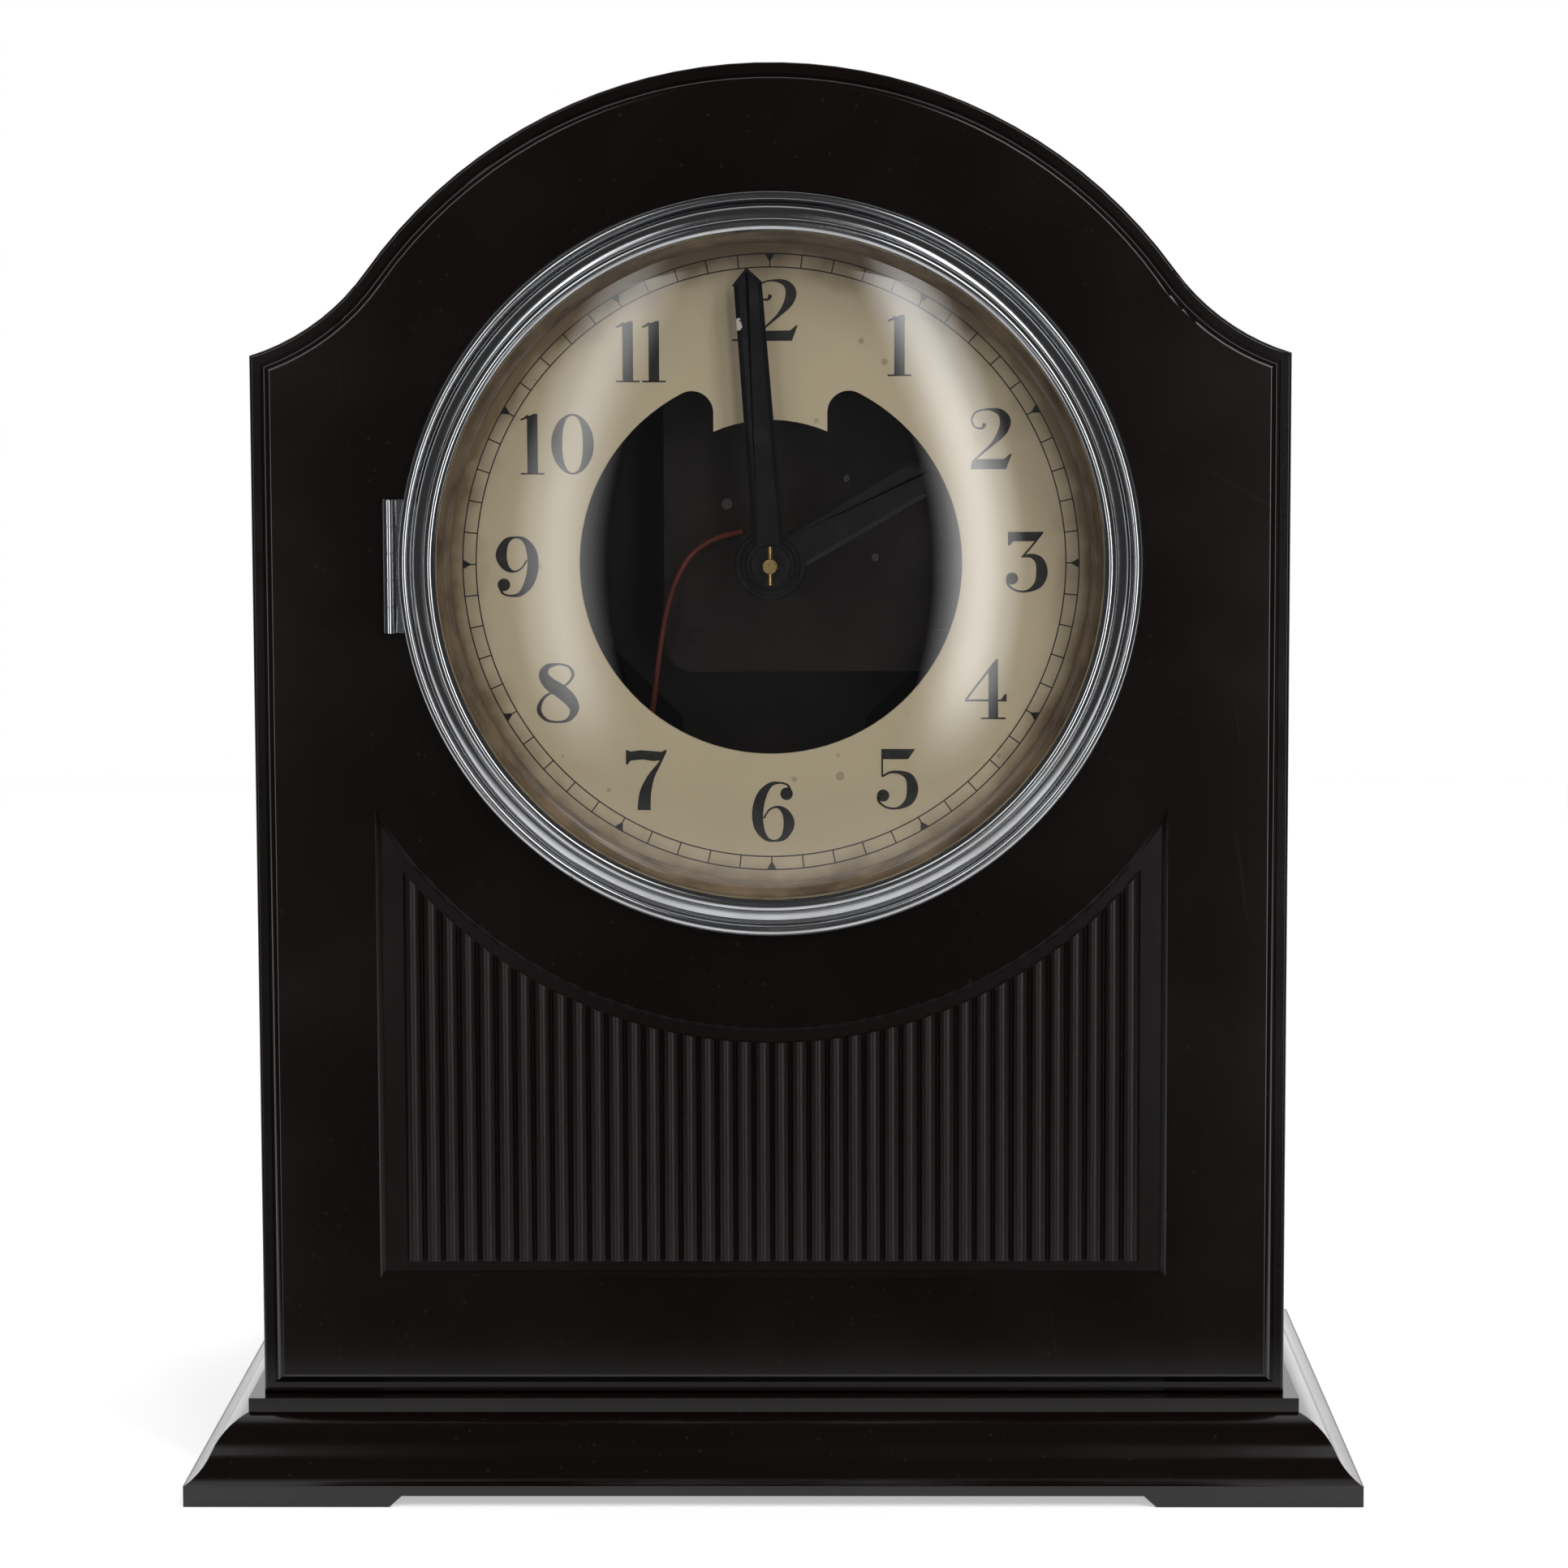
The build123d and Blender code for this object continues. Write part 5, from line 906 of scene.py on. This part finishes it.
def track_tree():
    """Geometry Nodes for the minute track: two lines, a mark for each minute and a wedge for each hour."""
    tree = bpy.data.node_groups.new("Minute track", "GeometryNodeTree")
    tree.interface.new_socket("Geometry", in_out="OUTPUT", socket_type="NodeSocketGeometry")
    for label in ("Outside", "Inside", "Line", "Height", "Front"):
        tree.interface.new_socket(label, in_out="INPUT", socket_type=NUMBER)
    tree.interface.new_socket("Ink", in_out="INPUT", socket_type="NodeSocketMaterial")
    given = tree.nodes.new("NodeGroupInput").outputs
    outside, inside, line = (given[label] for label in ("Outside", "Inside", "Line"))
    middle = times(tree, maths(tree, "ADD", outside, inside), 0.5)
    width = maths(tree, "SUBTRACT", outside, inside)

    def made_by(kind, **feeds):
        """What a geometry node makes. An input's name has _ for each space."""
        return add(tree, kind, {name.replace("_", " "): value for name, value in feeds.items()}).outputs[0]

    def ring(count, radius, mark):
        """Marks stood round a circle, each turned outwards."""
        circle = made_by("GeometryNodeMeshCircle", Vertices=count, Radius=radius)
        turn = times(tree, tree.nodes.new("GeometryNodeInputIndex").outputs[0], 2 * math.pi / count)
        spin = made_by("ShaderNodeCombineXYZ", Z=turn)
        return made_by("GeometryNodeInstanceOnPoints", Points=circle, Instance=mark, Rotation=spin)

    def bar(radial, round_about):
        """A flat mark of a size outwards and round the dial."""
        return made_by("GeometryNodeMeshGrid", Size_X=radial, Size_Y=round_about, Vertices_X=2, Vertices_Y=2)

    def circle_line(radius):
        """A whole line of marks that overlap a little."""
        reach = times(tree, radius, 2 * OVERLAP * math.pi / LINE_PIECES)
        return ring(LINE_PIECES, radius, bar(line, reach))

    size = times(tree, width, WEDGE_SHARE)
    wedge = add(tree, "GeometryNodeMeshCircle", {"Vertices": 3, "Radius": size}, fill_type="NGON").outputs[0]
    wedge = made_by("GeometryNodeTransform", Geometry=wedge, Rotation=(0, 0, math.pi))
    set_in = maths(tree, "SUBTRACT", outside, times(tree, size, WEDGE_IN))
    gather = tree.nodes.new("GeometryNodeJoinGeometry")
    minutes, hours = ring(60, middle, bar(width, line)), ring(12, set_in, wedge)
    for marks in (circle_line(outside), circle_line(inside), minutes, hours):
        tree.links.new(marks, gather.inputs[0])
    place = made_by("ShaderNodeCombineXYZ", Y=given["Front"], Z=given["Height"])
    upright = (math.pi / 2, 0, 0)
    stood = made_by("GeometryNodeTransform", Geometry=gather.outputs[0], Translation=place, Rotation=upright)
    real = made_by("GeometryNodeRealizeInstances", Geometry=stood)
    inked = made_by("GeometryNodeSetMaterial", Geometry=real, Material=given["Ink"])
    tree.links.new(inked, tree.nodes.new("NodeGroupOutput").inputs[0])
    return tree


def run_tree(tree, values):
    """The plain mesh that a Geometry Nodes tree makes from its named inputs."""
    holder = bpy.data.objects.new("holder", bpy.data.meshes.new("holder"))
    bpy.context.scene.collection.objects.link(holder)
    modifier = holder.modifiers.new("Tree", "NODES")
    modifier.node_group = tree
    sockets = {item.name: item.identifier for item in tree.interface.items_tree if item.in_out == "INPUT"}
    for label, value in values.items():
        modifier[sockets[label]] = value
    graph = bpy.context.evaluated_depsgraph_get()
    mesh = bpy.data.meshes.new_from_object(holder.evaluated_get(graph))
    bpy.data.objects.remove(holder)
    return mesh


# Hands

# Corners of each blade and the chip in the minute hand, as (across, along) in millimetres, and the hands'
# angles from twelve.
HOUR_BLADE = [(3.2, 2.5), (3.4, 28.2), (0.05, 31.6), (-0.05, 31.6), (-3.4, 28.2), (-3.2, 2.5)]
MINUTE_BLADE = [(2.6, 2.0), (2.325, 46.8), (0.05, 49.2), (-0.05, 49.2), (-2.325, 46.8), (-2.6, 2.0)]
CHIP = (-2.35, 40.0)
HOUR_ANGLE = 59.6
MINUTE_ANGLE = -4.4


def inset(corners, by, sharpest=0.25):
    """A convex outline drawn in by a distance on every side."""
    drawn = []
    count = len(corners)
    for number in range(count):
        before, here, after = (Vector(corners[(number + step) % count]) for step in (-1, 0, 1))
        first, second = (here - before).normalized(), (after - here).normalized()
        sides = [Vector((-first.y, first.x)), Vector((-second.y, second.x))]
        mitre = (sides[0] + sides[1]).normalized()
        drawn.append(here + mitre * by / max(mitre.dot(sides[0]), sharpest))
    return drawn


def on_hand(corner, angle, y):
    """The place of a point of a hand that is turned from twelve by an angle."""
    across, along = corner[0] * MM, corner[1] * MM
    turn = math.radians(angle)
    x = across * math.cos(turn) + along * math.sin(turn)
    z = along * math.cos(turn) - across * math.sin(turn)
    return (DIAL_CENTRE.x + x, y, DIAL_CENTRE.z + z)


def blade_mesh(corners, angle, front, back, look):
    """A hand's blade with bevelled edges. Corners are (across, along) from its root, anticlockwise."""
    levels = ((corners, back), (corners, front + look.fall), (inset(corners, look.bevel / MM), front))
    points = [on_hand(corner, angle, y) for outline, y in levels for corner in outline]
    count = len(corners)
    faces = [tuple(range(count)), tuple(range(2 * count, 3 * count))]
    for level in (0, count):
        for here in range(count):
            there = (here + 1) % count
            faces.append((level + here, level + there, level + count + there, level + count + here))
    return mesh_of(points, faces)


def boss_mesh(radius, bore, front, back, step):
    """A hand's turned boss, with a rounded step proud of the blade, from sizes in millimetres."""
    profile = [
        (bore, back), (radius, back), (radius, front + 0.25), (radius - 0.25, front - 0.05),
        (radius - 0.9, front - 0.05), (radius - 1.05, front - step + 0.12), (radius - 1.2, front - step),
        (bore, front - step),
    ]
    return turned([(r * MM, y * MM) for r, y in profile], DIAL_CENTRE)


def make_hand(node, corners, angle, boss, bore, step, material=None):
    """One hand, blade and boss, in its solid's place."""
    low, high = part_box(node)
    blade = blade_mesh(corners, angle, low.y, high.y, bpy.context.scene.clock_hands)
    hub = boss_mesh(boss, bore, low.y / MM, high.y / MM, step)
    return made(node, shaded(joined([blade, hub]), angle=20), material)


# Leads and winding

# Each lead's route in millimetres.
RED_ROUTE = [
    (-5.2, -33.5, 161.5), (-12.0, -36.0, 160.6), (-17.2, -36.6, 152.6), (-19.4, -36.4, 140.5),
    (-21.0, -34.0, 126.5), (-27.0, -26.0, 113.0), (-38.0, -10.0, 103.0), (-48.5, 9.0, 99.0),
    (-54.0, 23.0, 97.5), (-56.0, 33.0, 93.5), (-56.0, 36.0, 87.0), (-56.0, 36.0, 81.5),
]
BLACK_ROUTE = [
    (-11.0, -9.5, 116.0), (-17.0, -5.0, 113.0), (-25.0, 2.5, 107.5), (-33.0, 13.0, 101.0),
    (-39.0, 24.0, 95.5), (-42.6, 32.6, 92.0), (-43.5, 36.0, 87.0), (-43.5, 36.0, 81.5),
]
LEAD_RADIUS = 0.5 * MM


def make_lead(node, route):
    """A rubber-covered lead on one smooth line through the case."""
    curve = bpy.data.curves.new(node, "CURVE")
    curve.dimensions = "3D"
    curve.bevel_depth = LEAD_RADIUS
    curve.bevel_resolution = 4
    curve.resolution_u = 8
    curve.use_fill_caps = True
    spline = curve.splines.new("NURBS")
    spline.points.add(len(route) - 1)
    for point, place in zip(spline.points, route):
        point.co = (*(value * MM for value in place), 1)
    spline.order_u = 3
    spline.use_endpoint_u = True
    made(node, curve)


def winding_mesh(turns=38, samples=6, bore_share=0.66):
    """The coil's outer layer of wire: one rounded ridge for each turn, closed by the bore."""
    half = (COIL_HIGH.x - COIL_LOW.x) / 2
    radius = (COIL_HIGH.z - COIL_LOW.z) / 2
    wire = half / turns
    profile = []
    for number in range(turns * samples + 1):
        along = -half + 2 * half * number / (turns * samples)
        crest = abs(math.sin(math.pi * number / samples))
        profile.append((radius - wire * (1 - crest), along))
    profile += [(radius * bore_share, half), (radius * bore_share, -half)]
    mesh = turned(profile, Vector((0, 0, 0)))
    centre = (COIL_LOW + COIL_HIGH) / 2
    mesh.transform(Matrix.Translation(centre) @ Matrix.Rotation(math.pi / 2, 4, "Z"))
    return shaded(mesh, angle=60)


# Stage

# The studio's places, in metres, the camera's angles, the floor's own glow, and how a strip fades at its
# sides and over what share of its height at its foot.
CAMERA_PLACE = (0.012336, -0.820194, 0.201390)
CAMERA_TILT, CAMERA_PAN, CAMERA_ROLL = (math.radians(angle) for angle in (6.0426, -0.7616, 0.1838))
LAMP_AIM = Vector((0, -0.05, 0.15))
FLOOR_SIDE, FLOOR_FRONT, FLOOR_BACK = 0.9, -0.17, 1.1
FLOOR_FADE = (-0.16, -0.075)
FLOOR_GLOW = 0.45
STRIP_AWAY, STRIP_LOW, STRIP_HIGH = 1.25, -0.40, 1.10
STRIP_SOFTNESS, STRIP_FOOT = 1.5, 0.22


def make_camera():
    """The camera at the photograph's viewing angle, focal length and framing."""
    camera = bpy.data.cameras.new("Camera")
    camera.sensor_fit = "HORIZONTAL"
    camera.sensor_width = 36.0
    camera.lens = 105.572
    camera.clip_start = 0.02
    camera.clip_end = 20.0
    stand = bpy.data.objects.new("Camera", camera)
    bpy.context.scene.collection.objects.link(stand)
    aimed = Matrix.Rotation(-CAMERA_PAN, 4, "Z") @ Matrix.Rotation(math.pi / 2 - CAMERA_TILT, 4, "X")
    rolled = aimed @ Matrix.Rotation(-CAMERA_ROLL, 4, "Z")
    stand.matrix_world = Matrix.Translation(CAMERA_PLACE) @ rolled
    bpy.context.scene.camera = stand


def make_light(name, place, size, watts):
    """A rectangular lamp that faces the clock."""
    lamp = bpy.data.lights.new(name, "AREA")
    lamp.shape = "RECTANGLE"
    lamp.size, lamp.size_y = size
    lamp.energy = watts
    stand = bpy.data.objects.new(name, lamp)
    stand.location = place
    stand.rotation_euler = (LAMP_AIM - Vector(place)).to_track_quat("-Z", "Y").to_euler()
    stand.visible_glossy = False
    bpy.context.scene.collection.objects.link(stand)


def stage_piece(name, corners, material):
    """A flat piece of the studio, which isn't part of the clock."""
    mesh = flat_mesh(corners, [(0, 1, 2, 3)])
    mesh.materials.append(material)
    piece = bpy.data.objects.new(name, mesh)
    bpy.context.scene.collection.objects.link(piece)
    return mesh


def make_floor(look):
    """A pale floor that takes the clock's shadow. It fades out in front, where the studio is dim."""
    material, tree, shader, place = surface("Studio floor", roughness=0.9, specular=0.0)
    shade = effect(tree, "patches", place, scale=3.0, detail=2.0, low=0.3, high=0.7)
    paler = [min(level + 0.02, 1) for level in look.floor]
    tree.links.new(blended(tree, shade, look.floor, paler), shader.inputs["Base Color"])
    shader.inputs["Emission Color"].default_value = (1, 1, 1, 1)
    rays = tree.nodes.new("ShaderNodeLightPath").outputs
    seen = most(tree, rays["Is Camera Ray"], rays["Is Glossy Ray"], rays["Is Transmission Ray"])
    tree.links.new(times(tree, seen, FLOOR_GLOW), shader.inputs["Emission Strength"])
    back = add(tree, "ShaderNodeSeparateXYZ", {0: place}).outputs["Y"]
    tree.links.new(span(tree, back, *FLOOR_FADE), shader.inputs["Alpha"])
    corners = [(-FLOOR_SIDE, FLOOR_FRONT, 0), (FLOOR_SIDE, FLOOR_FRONT, 0)]
    corners += [(FLOOR_SIDE, FLOOR_BACK, 0), (-FLOOR_SIDE, FLOOR_BACK, 0)]
    stage_piece("Floor", corners, material)


def make_strip(name, angles, strength):
    """A tall strip box in front of the glass, between two angles from straight ahead.

    It is soft at its sides and fades at its foot.
    """
    material = bpy.data.materials.new(name)
    material.use_nodes = True
    tree = material.node_tree
    tree.nodes.remove(tree.nodes["Principled BSDF"])
    place = tree.nodes.new("ShaderNodeTexCoord").outputs["UV"]
    across, up, _ = add(tree, "ShaderNodeSeparateXYZ", {0: place}).outputs
    bulge = maths(tree, "POWER", maths(tree, "SINE", times(tree, across, math.pi)), STRIP_SOFTNESS)
    feeds = {"Value": up, "From Max": STRIP_FOOT}
    foot = add(tree, "ShaderNodeMapRange", feeds, interpolation_type="SMOOTHSTEP").outputs[0]
    level = times(tree, times(tree, bulge, foot), strength)
    straight = tree.nodes.new("ShaderNodeLightPath").outputs["Is Camera Ray"]
    glow = add(tree, "ShaderNodeEmission", {"Strength": graded(tree, straight, level, 1.0)})
    tree.links.new(glow.outputs[0], tree.nodes["Material Output"].inputs["Surface"])
    left, right = (math.tan(math.radians(angle)) * STRIP_AWAY for angle in angles)
    ends = ((left, STRIP_HIGH), (right, STRIP_HIGH), (right, STRIP_LOW), (left, STRIP_LOW))
    mesh = stage_piece(name, [(x, DIAL_CENTRE.y - STRIP_AWAY, z) for x, z in ends], material)
    corners = mesh.uv_layers.new(name="UVMap").data
    for corner, spot in zip(corners, ((0, 1), (1, 1), (1, 0), (0, 0))):
        corner.uv = spot


def make_world(look):
    """A studio that is white behind and beside the clock and dim in front of it."""
    world = bpy.data.worlds.new("Studio")
    world.use_nodes = True
    bpy.context.scene.world = world
    tree = world.node_tree
    direction = tree.nodes.new("ShaderNodeTexCoord").outputs["Generated"]
    _, towards, up = add(tree, "ShaderNodeSeparateXYZ", {0: direction}).outputs
    far, below = span(tree, towards, -0.05, 0.30), span(tree, up, -0.45, -0.85)
    behind = most(tree, far, below)
    level = graded(tree, behind, look.front, look.back)
    rays = tree.nodes.new("ShaderNodeLightPath").outputs
    mirrored = times(tree, rays["Is Glossy Ray"], behind)
    white = most(tree, rays["Is Camera Ray"], rays["Is Transmission Ray"], mirrored)
    grey = add(tree, "ShaderNodeCombineColor", {0: level, 1: level, 2: level}).outputs[0]
    tree.links.new(blended(tree, white, grey, (1, 1, 1)), tree.nodes["Background"].inputs["Color"])


# Operators

class CLOCK_OT_stage(bpy.types.Operator):
    """Sets up the camera, the lamps, the floor and the world"""

    bl_idname = "clock.stage"
    bl_label = "Studio"

    def execute(self, context):
        look = context.scene.clock_stage
        context.scene.view_settings.view_transform = "Standard"
        make_camera()
        make_light("Right light", place=(0.80, -1.05, 1.00), size=(0.4, 0.7), watts=look.key)
        make_light("Left light", place=(-0.85, -1.00, 1.00), size=(0.7, 0.7), watts=look.fill)
        make_light("Top light", place=(0, -0.55, 1.55), size=(1.2, 0.8), watts=look.top)
        make_strip("Left strip", angles=(-24.8, -12.8), strength=look.left_strip)
        make_strip("Right strip", angles=(11.0, 23.0), strength=look.right_strip)
        make_floor(look)
        make_world(look)
        return {"FINISHED"}


class CLOCK_OT_leads(bpy.types.Operator):
    """Lays the two leads between the movement and the cell"""

    bl_idname = "clock.leads"
    bl_label = "Leads"

    def execute(self, context):
        make_lead("red_lead", RED_ROUTE)
        make_lead("black_lead", BLACK_ROUTE)
        return {"FINISHED"}


class CLOCK_OT_case(bpy.types.Operator):
    """Finishes the hood, the plinth and their screws"""

    bl_idname = "clock.case"
    bl_label = "Case"

    def execute(self, context):
        dress("case_shell", "plinth", "case_screws")
        return {"FINISHED"}


class CLOCK_OT_bezel(bpy.types.Operator):
    """Finishes the bezel, its glass, the sloped ring and the hinge"""

    bl_idname = "clock.bezel"
    bl_label = "Bezel"

    def execute(self, context):
        made("bezel_ring", bezel_mesh())
        dress("bezel_glass", "sight_ring")
        dress("bezel_hinge_leaf", "bezel_hinge_case_leaf", "bezel_hinge_pin", "bezel_hinge_screws")
        return {"FINISHED"}


class CLOCK_OT_dial(bpy.types.Operator):
    """Finishes the dial and prints its minute track and hour numbers"""

    bl_idname = "clock.dial"
    bl_label = "Dial"

    def execute(self, context):
        dress("dial_plate", "dial_screws")
        look = context.scene.clock_dial
        values = {
            "Outside": look.track_outside, "Inside": look.track_inside, "Line": look.line,
            "Height": DIAL_CENTRE.z, "Front": DIAL_CENTRE.y, "Ink": finish_of("ink"),
        }
        numbers = []
        for text, (across, up) in NUMBER_PLACES.items():
            centre = DIAL_CENTRE + Vector((across * MM, 0, up * MM))
            numbers += number_meshes(text, centre, look.numeral_height / FIELD)
        prints = {"minute_track": [run_tree(track_tree(), values)], "hour_numbers": numbers}
        for name, meshes in prints.items():
            piece_from(printed(meshes, look.film), name, "case", "dial_cream", finish_of("ink"))
        return {"FINISHED"}


class CLOCK_OT_hands(bpy.types.Operator):
    """Makes the two bevelled hands and finishes the washer, pin and arbor that hold them"""

    bl_idname = "clock.hands"
    bl_label = "Hands"

    def execute(self, context):
        chip = on_hand(CHIP, MINUTE_ANGLE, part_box("minute_hand")[0].y)
        chipped = blued(context.scene.clock_hands, chip)
        make_hand("hour_hand", HOUR_BLADE, HOUR_ANGLE, boss=6.0, bore=3.15, step=0.45)
        make_hand("minute_hand", MINUTE_BLADE, MINUTE_ANGLE, boss=4.2, bore=2.25, step=0.0, material=chipped)
        dress("hand_washer", "taper_pin", "centre_arbor")
        return {"FINISHED"}


class CLOCK_OT_movement(bpy.types.Operator):
    """Finishes the plates, the wheels and the contact work"""

    bl_idname = "clock.movement"
    bl_label = "Movement"

    def execute(self, context):
        dress("front_plate", "stand_plate", "plate_pillars", "pillar_screws", "plate_studs", "deck_screws")
        dress("terminal_screws", "cannon_pinion", "hour_wheel", "minute_wheel", "centre_wheel")
        dress("third_pinion", "third_wheel", "ratchet_pinion", "ratchet_wheel")
        dress("drive_pawl", "stop_click", "contact_fork")
        return {"FINISHED"}


class CLOCK_OT_pendulum(bpy.types.Operator):
    """Winds the coil and finishes the pendulum, its suspension and the magnet"""

    bl_idname = "clock.pendulum"
    bl_label = "Pendulum"

    def execute(self, context):
        dress("suspension_cock", "suspension_spring", "suspension_chops", "pendulum_rod", "contact_pin")
        dress("coil_bobbin", "coil_strap", "rating_nut")
        dress("magnet_bar", "magnet_bracket_left", "magnet_bracket_right")
        made("coil_winding", winding_mesh())
        return {"FINISHED"}


class CLOCK_OT_cell(bpy.types.Operator):
    """Finishes the cell, its terminals and its clip"""

    bl_idname = "clock.cell"
    bl_label = "Cell"

    def execute(self, context):
        dress("battery_cell", "battery_terminals", "battery_clip")
        return {"FINISHED"}


class CLOCK_OT_back(bpy.types.Operator):
    """Finishes the back door, its hinges, knob and catch"""

    bl_idname = "clock.back"
    bl_label = "Back door"

    def execute(self, context):
        dress("back_door", "door_hinge_leaves", "door_hinge_case_leaves", "door_hinge_pins")
        dress("door_hinge_screws", "pull_knob", "catch_spring")
        return {"FINISHED"}


STEPS = (
    CLOCK_OT_stage, CLOCK_OT_leads, CLOCK_OT_case, CLOCK_OT_bezel, CLOCK_OT_dial, CLOCK_OT_hands,
    CLOCK_OT_movement, CLOCK_OT_pendulum, CLOCK_OT_cell, CLOCK_OT_back,
)
SETTINGS = {
    "clock_case": ClockCaseSettings,
    "clock_bezel": ClockBezelSettings,
    "clock_dial": ClockDialSettings,
    "clock_hands": ClockHandSettings,
    "clock_stage": ClockStageSettings,
}


class CLOCK_PT_sidebar(bpy.types.Panel):
    """Lists the clock's settings and steps"""

    bl_idname = "CLOCK_PT_sidebar"
    bl_label = "Mantel clock"
    bl_space_type = "VIEW_3D"
    bl_region_type = "UI"
    bl_category = "Clock"

    def draw(self, context):
        for name, kind in SETTINGS.items():
            column = self.layout.column(align=True)
            for setting in kind.__annotations__:
                column.prop(getattr(context.scene, name), setting)
        for step in STEPS:
            self.layout.operator(step.bl_idname)


def register():
    """Adds the settings, the operators and the panel to Blender."""
    for name, kind in SETTINGS.items():
        bpy.utils.register_class(kind)
        setattr(bpy.types.Scene, name, bpy.props.PointerProperty(type=kind))
    for kind in (*STEPS, CLOCK_PT_sidebar):
        bpy.utils.register_class(kind)


def unregister():
    """Takes the panel, the operators and the settings away again."""
    for kind in (CLOCK_PT_sidebar, *reversed(STEPS)):
        bpy.utils.unregister_class(kind)
    for name, kind in reversed(SETTINGS.items()):
        delattr(bpy.types.Scene, name)
        bpy.utils.unregister_class(kind)


def main():
    """Runs every step in order."""
    register()
    for step in STEPS:
        group, name = step.bl_idname.split(".")
        getattr(getattr(bpy.ops, group), name)()


if __name__ == "__main__":
    main()
